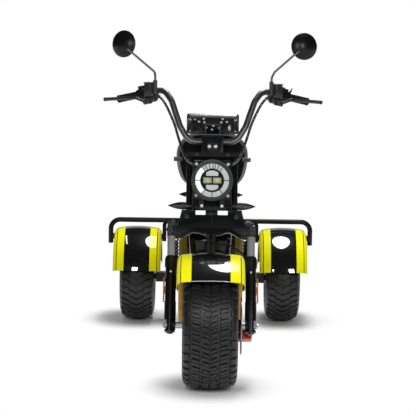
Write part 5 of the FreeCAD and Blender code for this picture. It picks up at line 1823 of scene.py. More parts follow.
@dataclass
class Controls:
    """Grip, switches, brake cylinder, lever and mirror of one end of the handlebar.

    Attributes:
        layout: Main places of the vehicle.
        side: Side that they are on; both are drawn on the left and the right one is mirrored.
        turn: Degrees that the mirror head is turned outwards.
        kink: Middle point of the mirror's stalk, from the steering head.
        shoulder: Where the bar end starts, from the steering head.
        tip: Where the bar ends, from the steering head.
        mirror: Middle of the mirror's head, from the steering head.
        lower: The loom's route below the bar end, from the steering head.
        perch: Distance of the reservoir's middle along the bar end.
        grip_r: Radius of the grip.
        mirror_r: Radius of the mirror.
        boss: The mirror boss's place from the perch, and its height.
        lever_end: Middle of the ball at the lever's end, from the shoulder.
    """

    layout: Layout
    side: Side
    turn: float
    kink: Triple
    shoulder: Triple = (196.0, 127.7, 258.4)
    tip: Triple = (383.0, 218.7, 210.4)
    mirror: Triple = (361.0, 153.7, 436.4)
    perch: float = 48.0
    grip_r: float = 15.2
    mirror_r: float = 54.0
    boss: Triple = (-18.0, -21.0, 42.0)
    lever_end: Triple = (245.4, -46.0, 8.0)
    lower: Sequence[Triple] = (
        (186.0, 77.7, 202.4), (152.0, 48.7, 132.4), (135.0, 23.7, 77.4), (115.0, -12.3, 24.4),
        (98.0, -42.3, -5.6), (62.0, -56.3, -25.6), (34.0, -70.3, -35.6),
    )

    def frame(self) -> Matrix:
        """The left bar end's frame: X out along the bar, -Y forwards, from the shoulder.

        Returns:
            The frame.
        """
        start = self.layout.head(*self.shoulder)
        outward = (self.layout.head(*self.tip) - start).normalized()
        upward = (UP - outward * UP.dot(outward)).normalized()
        rear = upward.cross(outward)
        return Matrix.Translation(start) @ Matrix((outward, rear, upward)).transposed().to_4x4()

    def upright(self) -> Matrix:
        """A level frame over the bar at the perch, X outwards."""
        outward = self.frame().to_3x3() @ OUT
        level = Matrix.Rotation(math.atan2(outward.y, outward.x), 4, "Z")
        return Matrix.Translation(self.frame() @ (OUT * self.perch)) @ level

    def mirror_frame(self) -> Matrix:
        """The mirror head's frame, -Y forwards."""
        middle = Matrix.Translation(self.layout.head(*self.mirror))
        return middle @ spun(self.turn, "Z") @ spun(-6, "X")

    def finished(self, stock: Stock, name: str, node: str, *finishes: Finish) -> Piece:
        """Finishes a piece on its own side; the left one stands for the CAD node.

        Args:
            stock: The mesh, drawn on the left.
            name: Name of the piece without its side.
            node: The CAD node that it replaces.
            *finishes: Its finishes, in the order of the coats.

        Returns:
            The piece.
        """
        left = self.side is Side.LEFT
        if not left:
            stock.flip()
        title = f"{self.side.name.lower()}_{name}"
        return stock.piece(title, Body.HEAD, *finishes, replaces=[node] if left and node else ())

    def grip(self) -> Piece:
        """The ribbed grip with its flange and rounded end.

        Returns:
            The piece.
        """
        start, end, r = 109.4, 214.0, self.grip_r
        profile = [(12.4, start), (18.2, start), (19.4, start + 1), (19.4, start + 3.4)]
        profile += [(17.2, start + 5.2), (r, start + 7)]
        for index in range(12):
            h = start + 11 + 7.0 * index
            profile += [(r, h), (r - 1.2, h + 0.6), (r - 1.2, h + 2.6), (r, h + 3.2)]
        profile += [(r, end - 8), (r + 0.9, end - 6.5), (r + 0.9, end - 4), (r - 1.6, end - 1)]
        stock = Stock()
        stock.lathe(profile + [(9, end), (0, end)], self.frame() @ spun(90, "Y"), 36)
        return self.finished(stock, "grip_rubber", "grips", Store.GRIP)

    def switches(self) -> Piece:
        """The two-part switch housing with its buttons.

        Returns:
            The piece.
        """
        frame = self.frame()
        sections = (
            (71.4, 0.86), (72.2, 0.95), (74.0, 1.0), (94.0, 1.03), (110.0, 0.98), (117.0, 0.91),
            (121.0, 0.83), (123.0, 0.76),
        )
        rows = []
        for x, scale in sections:
            row = []
            for angle in turns(48):
                c, s = math.cos(angle), math.sin(angle)
                split = 0.955 if abs(c) < 0.05 else 1.0
                y = -1.0 + 20.5 * scale * math.copysign(abs(c) ** 0.75, c)
                z = -1.0 + 23.0 * scale * split * math.copysign(abs(s) ** 0.8, s)
                row.append(frame @ Vector((x, y, z)))
            rows.append(row)
        stock = Stock()
        stock.skin(rows, around=True)
        if self.side is Side.LEFT:
            buttons = [
                ((79, -15, 16), (91, 0, 33.5)), ((97, -13, 15), (109, 2, 30)),
                ((76, 17, -6), (88, 23, 4)), ((92, 17, -10), (103, 22.5, 6)),
            ]
            thumb = [frame @ Vector(p) for p in ((112, -8, 13), (118, -11, 20), (122, -14, 38))]
            stock.tube(thumb, lambda run, angle: 6.4 - 0.17 * run, 14)
        else:
            buttons = [
                ((86, -13, 12), (108, 6, 33)), ((88, -19, -12), (100, -24.5, 16)),
                ((78, 17, 0), (102, 23, 9)), ((84, 17, -14), (98, 22.5, -4)),
            ]
        for low, high in buttons:
            stock.block(low, high, frame, 2.2)
        for x in (78, 102):
            stock.bolt(frame @ Vector((x, -19.6, -15)), frame.to_3x3() @ Vector((0, -1, -0.4)), 3.4)
        return self.finished(stock, "switch_shells", "switch_housings", Store.SMOOTH_PLASTIC)

    def cylinder(self) -> list[Piece]:
        """The brake cylinder with its reservoir, clamp ring, hose outlet and mirror boss.

        Returns:
            The casting and its fittings.
        """
        frame, level = self.frame(), self.upright()
        across = frame @ spun(90, "Y")
        x, y, top = self.boss
        stand = level @ moved(x, y, 0)
        stock = Stock()
        ring = [(12.6, 33.5), (19, 33.5), (19.8, 34.3), (19.8, 57.7), (19, 58.5), (12.6, 58.5)]
        stock.lathe(ring, across, 36, looped=True)
        stock.block((36, -33, -24), (57, -10, 11), frame, 2.0)
        barrel = [
            (0, 18), (7, 18), (7.6, 19), (7.6, 23), (10.4, 24), (11.2, 25), (11.2, 70),
            (10.2, 71.4), (6.4, 72), (0, 72),
        ]
        stock.lathe(barrel, across @ moved(30, -36, 0), 28)
        stock.block((46, -60, -45), (72, -30, -28), frame, 2.2)
        stock.block((9.4, -42, -27), (21, -30, -14), frame, 2.0)
        stock.block((-14, -54, -16), (16, -20, 34), level, 3.2)
        stock.block((-15.5, -55.5, 34.5), (17.5, -18.5, 40.5), level, 2.2)
        stock.lathe([(0, -8), (8.5, -8), (8.5, top - 1), (7.6, top), (0, top)], stand, 28)
        stock.block((x - 4, y - 6, -10), (-8, y + 12, 8), level, 2.0)
        body = self.finished(stock, "brake_cylinder", "brake_cylinders", Store.CASTING)
        bolts = Stock()
        turn = frame.to_3x3()
        for z in (-17.5, 15.5):
            for along_bar in (40, 52):
                bolts.bolt(frame @ Vector((along_bar, -13, z)), turn @ AHEAD, 4.5)
        bolts.bolt(frame @ Vector((15.2, -36, -14.2)), turn @ UP, 6, BoltHead.HEX)
        bolts.bolt(frame @ Vector((60, -50, -28.2)), turn @ UP, 5, BoltHead.HEX)
        low, high = top - 0.5, top + 6.5
        bolts.lathe([(0, low), (10, low), (10, high - 1), (9, high), (0, high)], stand, 6)
        return [body, self.finished(bolts, "control_bolts", "", Store.FITTING)]

    def lever(self) -> Piece:
        """The flat brake lever, from its pivot out past the grip to the ball end.

        Returns:
            The piece.
        """
        frame = self.frame()
        end = Vector(self.lever_end)
        path = rounded_path([Vector((63, -54, -36)), Vector((103, -61, -10)), end], 34, 10)
        rows = []
        last = len(path) - 1
        for index, point in enumerate(path):
            heading = (path[min(index + 1, last)] - path[max(index - 1, 0)]).normalized()
            flat = heading.cross(UP).normalized()
            tall = flat.cross(heading).normalized()
            share = index / last
            wide, high = 4.6 - 0.6 * share, 5.6 + 1.6 * share
            rows.append([
                frame @ (point + flat * wide * math.cos(angle) + tall * high * math.sin(angle))
                for angle in turns(16)
            ])
        stock = Stock()
        stock.skin(rows, around=True)
        stock.lathe(ball(8.4, 12), Matrix.Translation(frame @ end), 24)
        stock.block((50, -62, -42), (72, -44, -31), frame, 2.2)
        return self.finished(stock, "brake_lever_blade", "brake_levers", Store.LEVER)

    def mirrors(self) -> list[Piece]:
        """The mirror's head, rim and bent stalk.

        Returns:
            The pieces.
        """
        r = self.mirror_r
        bowl = 1.45 * r
        profile = [
            (0, -4.1), (51.1, -4.1), (51.3, -7.4), (52.2, -8.0), (53.4, -7.9), (r, -7.0),
            (r, -4.6), (r - 0.7, -4.0), (r, -3.4),
        ]
        for index in range(15):
            reach = (r - 0.3) * math.cos(math.pi / 2 * index / 14)
            rise = math.sqrt(bowl**2 - reach**2) - math.sqrt(bowl**2 - r**2)
            profile.append((reach, rise - 3.0))
        head = Stock()
        head.lathe(profile, self.mirror_frame() @ spun(90, "X"), 72)
        shell = self.finished(head, "mirror_shell", "mirrors", Store.MIRROR_SHELL)
        boss = self.upright() @ Vector(self.boss)
        end = self.mirror_frame() @ Vector((-0.55 * r, -9, -0.38 * r))
        route = [boss, boss + UP * 20, self.layout.head(*self.kink), end]
        stalk = Stock()
        stalk.tube(rounded_path(route, 30, 8), 4.5, 16)
        stalk.lathe(ball(6.5, 10), Matrix.Translation(end), 20)
        return [shell, self.finished(stalk, "mirror_stalk", "", Store.BAR_BLACK)]

    def loom(self) -> list[Vector]:
        """The route of the wrapped loom down beside the bar."""
        upper = [self.frame() @ Vector(point) for point in ((15.4, -36, -20), (3, -37, -27))]
        points = upper + [self.layout.head(*point) for point in self.lower]
        return points if self.side is Side.LEFT else [flipped(point) for point in points]

    def build(self) -> list[Piece]:
        """Builds everything on this bar end.

        Returns:
            The finished pieces.
        """
        word = self.side.name.lower()
        nodes = ["control_cables"] if self.side is Side.LEFT else []
        loom = Cord(f"{word}_control_loom", self.loom(), 5.5, 9.0, Store.CABLE, nodes)
        made = [self.grip(), self.switches(), self.lever()] + self.cylinder() + self.mirrors()
        return made + loom.build()


@dataclass
class Fasteners:
    """Bolts of one finish on one body.

    Attributes:
        name: Name of the piece.
        body: Body that carries them.
        finish: Their finish.
        rows: Seat, direction, thread size and head of each bolt.
    """

    name: str
    body: Body
    finish: Finish
    rows: Sequence[Bolt]

    def build(self) -> list[Piece]:
        """Builds the bolts as one piece.

        Returns:
            That piece.
        """
        stock = Stock()
        for row in self.rows:
            stock.bolt(*row)
        return [stock.piece(self.name, self.body, self.finish)]


@dataclass
class HeadHardware:
    """Bolts and small plates on the steered head.

    Attributes:
        layout: Main places of the vehicle.
        dash_screws: Places of the screws on the dash's back, flat on it.
    """

    layout: Layout
    dash_screws: Sequence[Pair] = (
        (-89.0, -32.0), (-70.0, -33.0), (-36.0, -39.0), (38.0, -39.0), (89.0, -31.0),
        (-55.0, -20.0), (-33.5, -19.0), (33.0, -20.0), (55.0, -20.0),
        (-26.0, 6.0), (26.0, 7.0), (-3.0, 16.0), (2.0, -5.0), (-89.0, 31.0), (89.0, 31.0),
    )

    def dash(self) -> list[Piece]:
        """Screws and the plug on the back of the display.

        Returns:
            The pieces.
        """
        place = Matrix.Translation(self.layout.head(0, 40.7, 132.4)) @ spun(-51, "X")
        back = place.to_3x3() @ -UP
        rows = []
        for x, y in self.dash_screws:
            step = -12.0 if abs(x) < 36 or abs(y) > 37 else -9.0
            seat = Vector((x, y, -16.0 if abs(x) < 30 else step))
            rows.append((place @ seat, back, 4.2, BoltHead.DOME))
        made = Fasteners("dash_screws", Body.HEAD, Store.ZINC, rows).build()
        plug = Stock()
        plug.block((60, 6, -17), (71, 21, -8), place, 1.6)
        plug.block((62.5, 0, -15), (68.5, 8, -8), place, 1.2)
        return made + [plug.piece("dash_plug", Body.HEAD, Store.ZINC)]

    def riser(self) -> list[Piece]:
        """The riser's front plate with its two bolts.

        Returns:
            The pieces.
        """
        fork = self.layout.fork()
        ahead = fork.to_3x3() @ AHEAD
        plate = Stock()
        plate.block((-22, -18.4, 698), (22, -15.6, 736), fork, 1.0)
        rows = [(fork @ Vector((x, -18.2, 719)), ahead, 6.2, BoltHead.DOME) for x in (-12.2, 12.2)]
        made = Fasteners("riser_bolts", Body.HEAD, Store.ZINC, rows).build()
        return made + [plate.piece("riser_plate", Body.HEAD, Store.BRIDGE)]

    def bridge(self) -> list[Piece]:
        """Pinch bolts of the bridge, bolts of the signal bar and screws of the sliders.

        Returns:
            The pieces.
        """
        fork = self.layout.fork()
        turn = fork.to_3x3()
        sockets = (
            (158, -34, 364, 7.0), (158, -34, 379, 7.0), (96, -34, 424, 7.5), (60, -20, 685, 6.0)
        )
        dark, bright = [], []
        for side in SIDES:
            for x, y, z, size in sockets:
                seat = fork @ Vector((side * x, y, z))
                dark.append((seat, turn @ AHEAD, size, BoltHead.SOCKET))
            lamp_bar = self.layout.head(side * 39, -146.5, -168)
            slider, foot = (
                fork @ Vector((side * 154, y, z)) for y, z in ((-25.5, 205), (0, -26.2))
            )
            bright.append((lamp_bar, AHEAD, 5.0, BoltHead.DOME))
            bright.append((slider, turn @ AHEAD, 3.4, BoltHead.DOME))
            dark.append((foot, turn @ -UP, 16.0, BoltHead.DOME))
        made = Fasteners("bridge_bolts", Body.HEAD, Store.FITTING, dark).build()
        made += Fasteners("signal_bar_bolts", Body.HEAD, Store.ZINC, bright).build()
        seam = Stock()
        seam.block((-1.1, -35.2, 386), (1.1, -33.4, 431), fork, 0.5)
        return made + [seam.piece("bridge_seam", Body.HEAD, Store.BRIDGE)]

    def build(self) -> list[Piece]:
        """Builds everything small on the steered head.

        Returns:
            The finished pieces.
        """
        return self.dash() + self.riser() + self.bridge()


@dataclass
class BellyTrim:
    """Pale lip and side strips, partly trim and partly painted highlight on glossy edges, and
    shallow facets on the front of the belly cover.

    Attributes:
        layout: Main places of the vehicle.
        lip: Points across the front, x and z.
        screws: Places of the screws, x and z.
        front: Distance of the cover's face behind the front axle.
    """

    layout: Layout
    lip: Sequence[Pair] = (
        (-127.0, 512.0), (-119.0, 517.0), (-76.0, 537.5), (-50.0, 536.5), (-22.0, 529.0),
        (0.0, 526.5), (22.0, 528.0), (40.0, 531.0), (57.0, 537.5), (76.0, 537.5), (119.0, 517.0),
        (127.0, 512.0),
    )
    screws: Sequence[Pair] = (
        (-104, 470), (104, 470), (-104, 380), (104, 380), (-70, 210), (70, 210),
    )
    front: float = 361.5

    def trim(self) -> Piece:
        """The pale lip over the top and the strips down both sides, partly trim and partly painted
        highlight.

        Returns:
            The piece.
        """
        at, front = self.layout.at, self.front
        stock = Stock()
        line = [at(x, front + max(0.0, z - 520) * 1.08, z) for x, z in self.lip]
        stock.tube(rounded_path(line, 18, 4), 1.9, 12)
        # The side strips lie where the glossy corners between cover and core catch a highlight:
        # partly trim, partly painted highlight.
        for top, foot in ((-88, -80), (81, 73)):
            strip = [at(top, front + 13, 532), at(top * 0.99, front, 518), at(foot, front, 437)]
            stock.tube(strip, 1.5, 10)
        return stock.piece("belly_trim", Body.CHASSIS, Store.TRIM)

    def facets(self) -> Piece:
        """The raised panels on both sides of the middle post.

        Returns:
            The piece.
        """
        stock = Stock()
        place = Matrix.Translation(self.layout.at(0, self.front + 1.5, 0)) @ spun(90, "X")
        upper = ((18, 476), (56, 468), (64, 512), (22, 506))
        lower = ((18, 392), (58, 400), (56, 458), (18, 464))
        for sign in SIDES:
            for corners, height, edge in ((upper, 3.2, 1.2), (lower, 2.4, 1.0)):
                outline = [(sign * x, z) for x, z in corners]
                stock.prism(outline[::sign], 0, height, place, edge)
        stock.block((-14, 380, 0), (14, 516, 3.4), place, 1.4, coat=1)
        return stock.piece("belly_facets", Body.CHASSIS, Store.FACET, Store.GLOSS_BLACK)

    def build(self) -> list[Piece]:
        """Builds the trim.

        Returns:
            The finished pieces.
        """
        seats = [self.layout.at(x, self.front + 0.8, z) for x, z in self.screws]
        rows = [(seat, AHEAD, 4.5, BoltHead.DOME) for seat in seats]
        made = [self.trim(), self.facets()]
        return made + Fasteners("belly_screws", Body.CHASSIS, Store.FITTING, rows).build()


@dataclass
class Cushion:
    """Seat cover blown out over its foam, with a welt and sewn channels.

    Attributes:
        layout: Main places of the vehicle.
        cell: Size of the cover's mesh in millimetres.
        inset: How far the cover starts inside its outline.
        travel: How far the pressure may move it.
        pressure: Pressure inside the cover.
        held: Height above the seat's underside below which the cover can't move.
        last_frame: Last frame of the cloth run.
        channels: Places behind the front axle of the sewn channels across the seat.
        channel_depth: Depth of a channel.
        channel_width: Half width of a channel.
        channel_end: Distance from the centre plane where the channels run out.
        welt_depth: Depth of the line along the side.
        welt_tilt: Upward part of the surface's direction where that line runs.
        stitch: Length of a stitch.
        stitch_pitch: Distance between two stitches.
    """

    layout: Layout
    cell: float = 6.0
    inset: float = 4.5
    travel: float = 6.5
    pressure: float = 4.0
    held: float = 14.0
    last_frame: int = 20
    channels: Sequence[float] = (960.0, 1000.0, 1040.0, 1080.0, 1250.0, 1290.0, 1330.0)
    channel_depth: float = 4.2
    channel_width: float = 6.5
    channel_end: float = 112.0
    welt_depth: float = 1.8
    welt_tilt: float = 0.42
    stitch: float = 5.0
    stitch_pitch: float = 8.0

    def evaluated(self, made: Piece) -> bpy.types.Mesh:
        """The object's mesh with its modifiers applied."""
        view = bpy.context.evaluated_depsgraph_get()
        return bpy.data.meshes.new_from_object(made.evaluated_get(view))

    def swap(self, made: Piece, mesh: bpy.types.Mesh) -> None:
        """Takes the modifiers off and puts a new mesh in."""
        made.modifiers.clear()
        made.data = mesh

    def blown(self, made: Piece) -> None:
        """Runs the cloth with pressure, with its underside held on the seat's base.

        Args:
            made: The cover, still flat on the seat.
        """
        start = [vert.co.copy() for vert in made.data.vertices]
        floor = min(point.z for point in start)
        fixed = [n for n, point in enumerate(start) if point.z < floor + self.held * MM]
        group = made.vertex_groups.new(name="held")
        group.add(fixed, 1.0, "REPLACE")
        cloth = made.modifiers.new("cover", "CLOTH")
        settings = cloth.settings
        settings.use_pressure = True
        settings.uniform_pressure_force = self.pressure
        settings.vertex_group_mass = group.name
        settings.effector_weights.gravity = 0.0
        settings.tension_stiffness = 22.0
        settings.compression_stiffness = 14.0
        settings.bending_stiffness = 0.6
        scene = bpy.context.scene
        for number in range(1, self.last_frame + 1):
            scene.frame_set(number)
        mesh = self.evaluated(made)
        limit = self.travel * MM
        for vert, before in zip(mesh.vertices, start):
            step = vert.co - before
            if step.length > limit:
                vert.co = before + step * (limit / step.length)
        self.swap(made, mesh)
        scene.frame_set(1)

    def sewn(self, mesh: bpy.types.Mesh) -> None:
        """Draws the channels and the side welt into the cover.

        Args:
            mesh: The cover's mesh.
        """
        mesh.update()
        bm = bmesh.new()
        bm.from_mesh(mesh)
        bm.normal_update()
        moves = []
        for vert in bm.verts:
            behind = vert.co.y / MM - self.layout.axle_y
            x = abs(vert.co.x / MM)
            away = min(abs(behind - place) for place in self.channels) / self.channel_width
            tilt = vert.normal.z
            inside = max(0.0, min(1.0, (self.channel_end - x) / 14)) * max(0.0, tilt) ** 2
            depth = self.channel_depth * math.exp(-(away**2)) * inside
            if tilt > 0:
                depth += self.welt_depth * math.exp(-(((tilt - self.welt_tilt) / 0.13) ** 2))
            moves.append((vert, vert.normal.copy(), depth * MM))
        for vert, normal, depth in moves:
            vert.co -= normal * depth
        bm.to_mesh(mesh)
        bm.free()

    def stitches(self, cover: Piece) -> Piece:
        """Stitches along both edges of each sewn channel.

        Args:
            cover: The finished cover.

        Returns:
            The piece.
        """
        tree = BVHTree.FromObject(cover, bpy.context.evaluated_depsgraph_get())
        stock = Stock()
        edges = [place + shift for place in self.channels for shift in (-5.5, 5.5)]
        for edge in edges:
            for index in range(26):
                start = self.stitch_pitch * (index - 13)
                ends = []
                for x in (start, start + self.stitch):
                    above = self.layout.at(x, edge, 1200) * MM
                    hit, normal, _, _ = tree.ray_cast(above, -UP)
                    if hit is not None and normal.z > 0.5:
                        ends.append(hit / MM + normal * 0.1)
                if len(ends) == 2:
                    middle = (ends[0] + ends[1]) / 2 + UP * 0.45
                    stock.tube([ends[0] - UP * 0.5, middle, ends[1] - UP * 0.5], 0.55, 6)
        return stock.piece("seat_stitches", Body.CHASSIS, Store.THREAD)

    def build(self) -> list[Piece]:
        """Builds the cushion over the frame's seat.

        Returns:
            The cushion and its stitches.
        """
        made = shown(bpy.data.objects.new("seat_cushion", bpy.data.objects["seat"].data.copy()))
        remesh = made.modifiers.new("cells", "REMESH")
        remesh.mode = "VOXEL"
        remesh.voxel_size = self.cell * MM
        self.swap(made, self.evaluated(made))
        normals = [vert.normal.copy() for vert in made.data.vertices]
        for vert, normal in zip(made.data.vertices, normals):
            vert.co -= normal * (self.inset * MM)
        self.blown(made)
        smooth = made.modifiers.new("rounder", "SUBSURF")
        smooth.levels = 1
        self.swap(made, self.evaluated(made))
        self.sewn(made.data)
        made.data.materials.clear()
        made.data.materials.append(Store.SEAT.material())
        for face in made.data.polygons:
            face.material_index = 0
        made.data.shade_smooth()
        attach(made, Body.CHASSIS.value)
        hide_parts("seat")
        return [made, self.stitches(made)]


@dataclass
class Casting:
    """A solid of the frame, copied with its sharp edges eased.

    Attributes:
        node: CAD node that is copied and replaced.
        body: Body that carries it.
        finish: Its finish.
        edge: Width of the eased edges.
        angle: Angle in degrees above which an edge is eased.
        merge: Distance under which two points become one.
        flat: Angle in degrees under which two faces become one.
        crease: Angle in degrees above which an edge is shaded sharp.
    """

    node: str
    body: Body
    finish: Finish
    edge: float = 1.2
    angle: float = 28.0
    merge: float = 0.02
    flat: float = 1.0
    crease: float = 38.0

    def build(self) -> list[Piece]:
        """Builds the copy.

        Returns:
            The finished piece.
        """
        bm = bmesh.new()
        bm.from_mesh(bpy.data.objects[self.node].data)
        flat, limit = math.radians(self.flat), math.radians(self.angle)
        bmesh.ops.remove_doubles(bm, verts=bm.verts, dist=self.merge * MM)
        bmesh.ops.dissolve_limit(bm, angle_limit=flat, verts=bm.verts, edges=bm.edges)
        sharp = [e for e in bm.edges if len(e.link_faces) == 2 and e.calc_face_angle() > limit]
        bmesh.ops.bevel(
            bm, geom=sharp, offset=self.edge * MM, segments=2, profile=0.5, affect="EDGES",
            clamp_overlap=True,
        )
        for face in bm.faces:
            face.material_index = 0
        mesh = bpy.data.meshes.new(self.node + "_eased")
        bm.to_mesh(mesh)
        bm.free()
        mesh.materials.append(self.finish.material())
        mesh.shade_smooth()
        mesh.set_sharp_from_angle(angle=math.radians(self.crease))
        made = shown(bpy.data.objects.new(self.node + "_eased", mesh))
        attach(made, self.body.value)
        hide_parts(self.node)
        return [made]


@dataclass(frozen=True)
class Carried:
    """Solids of the frame that keep their shape and get a finish.

    Attributes:
        nodes: Names of the CAD nodes.
        finish: Their finish.
    """

    nodes: Sequence[str]
    finish: Finish

    def build(self) -> list[Piece]:
        """Puts the finish on each node.

        Returns:
            The nodes' objects.
        """
        made = [bpy.data.objects[name] for name in self.nodes]
        for node in made:
            for slot in node.material_slots:
                slot.material = self.finish.material()
        return made


@dataclass(frozen=True)
class Viewpoint:
    """Where the picture is taken from.

    Attributes:
        stand_off: Distance ahead of the front axle.
        height: Height above the floor.
        shift: Place across the vehicle.
        pitch: Downward tilt in degrees.
        yaw: Turn to the left in degrees.
        roll: Roll in degrees.
        lens: Focal length for a sensor 36 mm wide.
    """

    stand_off: float = 6616.6
    height: float = 1625.5
    shift: float = -25.7
    pitch: float = 8.028
    yaw: float = 0.095
    roll: float = 0.842
    lens: float = 153.17

    def build(self, layout: Layout) -> None:
        """Makes the scene's camera.

        Args:
            layout: Main places of the vehicle.
        """
        pitch, yaw, roll = (math.radians(a) for a in (self.pitch, self.yaw, self.roll))
        facing = Vector((math.sin(yaw), math.cos(yaw), 0))
        ahead = facing * math.cos(pitch) - UP * math.sin(pitch)
        level = Vector((math.cos(yaw), -math.sin(yaw), 0))
        above = level.cross(ahead)
        right = level * math.cos(roll) + above * math.sin(roll)
        upward = above * math.cos(roll) - level * math.sin(roll)
        data = bpy.data.cameras.new("viewpoint")
        data.sensor_width = 36.0
        data.lens = self.lens
        camera = shown(bpy.data.objects.new("viewpoint", data))
        turn = Matrix((right, upward, -ahead)).transposed().to_4x4()
        place = layout.at(self.shift, -self.stand_off, self.height) * MM
        camera.matrix_world = Matrix.Translation(place) @ turn
        bpy.context.scene.camera = camera


@dataclass(frozen=True)
class Softbox:
    """An area light of the studio.

    Attributes:
        name: Name of the light.
        place: Where it hangs, in metres.
        aim: Point that it looks at, in metres.
        size: Width and height in metres.
        power: Power in watts.
        shape: Outline of the light.
    """

    name: str
    place: Triple
    aim: Triple
    size: Pair
    power: float
    shape: str = "RECTANGLE"

    def build(self) -> None:
        """Makes the light."""
        data = bpy.data.lights.new(self.name, "AREA")
        data.shape = self.shape
        data.size, data.size_y = self.size
        data.energy = self.power
        lamp = shown(bpy.data.objects.new(self.name, data))
        lamp.location = self.place
        lamp.rotation_mode = "QUATERNION"
        lamp.rotation_quaternion = (Vector(self.aim) - lamp.location).to_track_quat("-Z", "Y")


@dataclass
class Studio:
    """Pale floor, white surroundings and soft lights.

    Attributes:
        patches: Points where the tyres stand, in metres.
        floor_radius: Radius of the floor in metres.
        fade_start: Distance from a tyre where the floor starts to turn white, in metres.
        fade_end: Distance where it is plain white.
        floor_shade: Lightness of the floor.
        surround: Strength of the light from all round.
        front_gloss: Strength of the surroundings ahead, seen in gloss.
        back_gloss: Strength of the surroundings behind, seen in gloss.
        gloss_from: Rearward part of a direction where they start to brighten.
        lights: The lights.
    """

    patches: Sequence[Triple]
    floor_radius: float = 9.0
    fade_start: float = 0.11
    fade_end: float = 0.3
    floor_shade: float = 0.9
    surround: float = 0.4
    front_gloss: float = 0.015
    back_gloss: float = 0.75
    gloss_from: float = 0.8
    lights: Sequence[Softbox] = (
        Softbox("overhead", (0.34, 1.06, 3.2), (0.34, 1.06, 0.0), (0.78, 2.1), 64.0, "ELLIPSE"),
        Softbox("strip", (-0.92, 1.25, 3.2), (-0.92, 1.25, 0.0), (0.07, 1.6), 3.2),
        Softbox("front_left", (1.25, -3.5, 2.0), (0.0, -0.3, 0.6), (0.5, 1.1), 34.0),
        Softbox("front_right", (-0.64, -3.5, 2.0), (0.0, -0.3, 0.6), (0.5, 0.9), 30.0),
    )

    def floor(self) -> None:
        """A round floor that fades to the white of the surroundings away from the vehicle."""
        stock = Stock()
        stock.disc([self.floor_radius * (ring / 24) ** 1.7 for ring in range(1, 25)], 96)
        mesh = bpy.data.meshes.new("floor")
        stock.bm.to_mesh(mesh)
        stock.bm.free()
        mesh.materials.append(self.floor_material())
        made = shown(bpy.data.objects.new("floor", mesh))

    def floor_material(self) -> bpy.types.Material:
        """Matt pale floor near the vehicle, plain white further off.

        Returns:
            The material.
        """
        bench = Bench("studio_floor")
        bench.set(Specular_IOR_Level=0.1)
        bench.patchy(3.0, 4.0, 0.75, 0.9)
        stops = [(0.3, (self.floor_shade - 0.01,) * 3), (0.7, (self.floor_shade,) * 3)]
        bench.feed("Base Color", bench.ramp(bench.noise(1.5, 3.0), stops))
        reach: object = 10.0
        for patch in self.patches:
            away = bench.node("ShaderNodeVectorMath", Vector=bench.place)
            away.operation = "DISTANCE"
            away.inputs[1].default_value = patch
            reach = bench.sum("MINIMUM", away.outputs["Value"], reach)
        ends = {"From_Min": self.fade_start, "From_Max": self.fade_end}
        fade = bench.node("ShaderNodeMapRange", Value=reach, **ends)
        fade.interpolation_type = "SMOOTHSTEP"
        path = bench.node("ShaderNodeLightPath").outputs
        seen = bench.sum("MAXIMUM", path["Is Camera Ray"], path["Is Transmission Ray"])
        seen = bench.sum("MAXIMUM", seen, path["Is Glossy Ray"])
        glow = bench.node(
            "ShaderNodeEmission", Strength=bench.span(seen, self.surround, 1.0), Color=WHITE
        )
        mixed = bench.node("ShaderNodeMixShader")
        for source, socket in zip((fade, bench.shader, glow), mixed.inputs):
            bench.plug(source.outputs[0], socket)
        bench.plug(mixed.outputs[0], bench.tree.nodes["Material Output"].inputs["Surface"])
        return bench.material

    def world(self) -> None:
        """White to the camera and through glass, and a dimmer plain fill for the rest."""
        world = bpy.data.worlds.new("studio")
        bpy.context.scene.world = world
        world.use_nodes = True
        wiring = Wiring(world.node_tree, "Generated")
        path = wiring.node("ShaderNodeLightPath").outputs
        seen = wiring.sum("MAXIMUM", path["Is Camera Ray"], path["Is Transmission Ray"])
        gloss = wiring.span(
            wiring.axis("Y"), self.front_gloss, self.back_gloss, self.gloss_from, 1.0
        )
        level = wiring.node("ShaderNodeMix")
        for value, index in ((path["Is Glossy Ray"], 0), (self.surround, 2), (gloss, 3)):
            wiring.plug(value, level.inputs[index])
        background = wiring.tree.nodes["Background"].inputs
        wiring.plug(WHITE, background["Color"])
        wiring.plug(wiring.sum("MAXIMUM", seen, level.outputs[0]), background["Strength"])

    def build(self) -> None:
        """Sets up the floor, the surroundings and the lights."""
        bpy.context.scene.view_settings.view_transform = "Standard"
        self.floor()
        self.world()
        for light in self.lights:
            light.build()


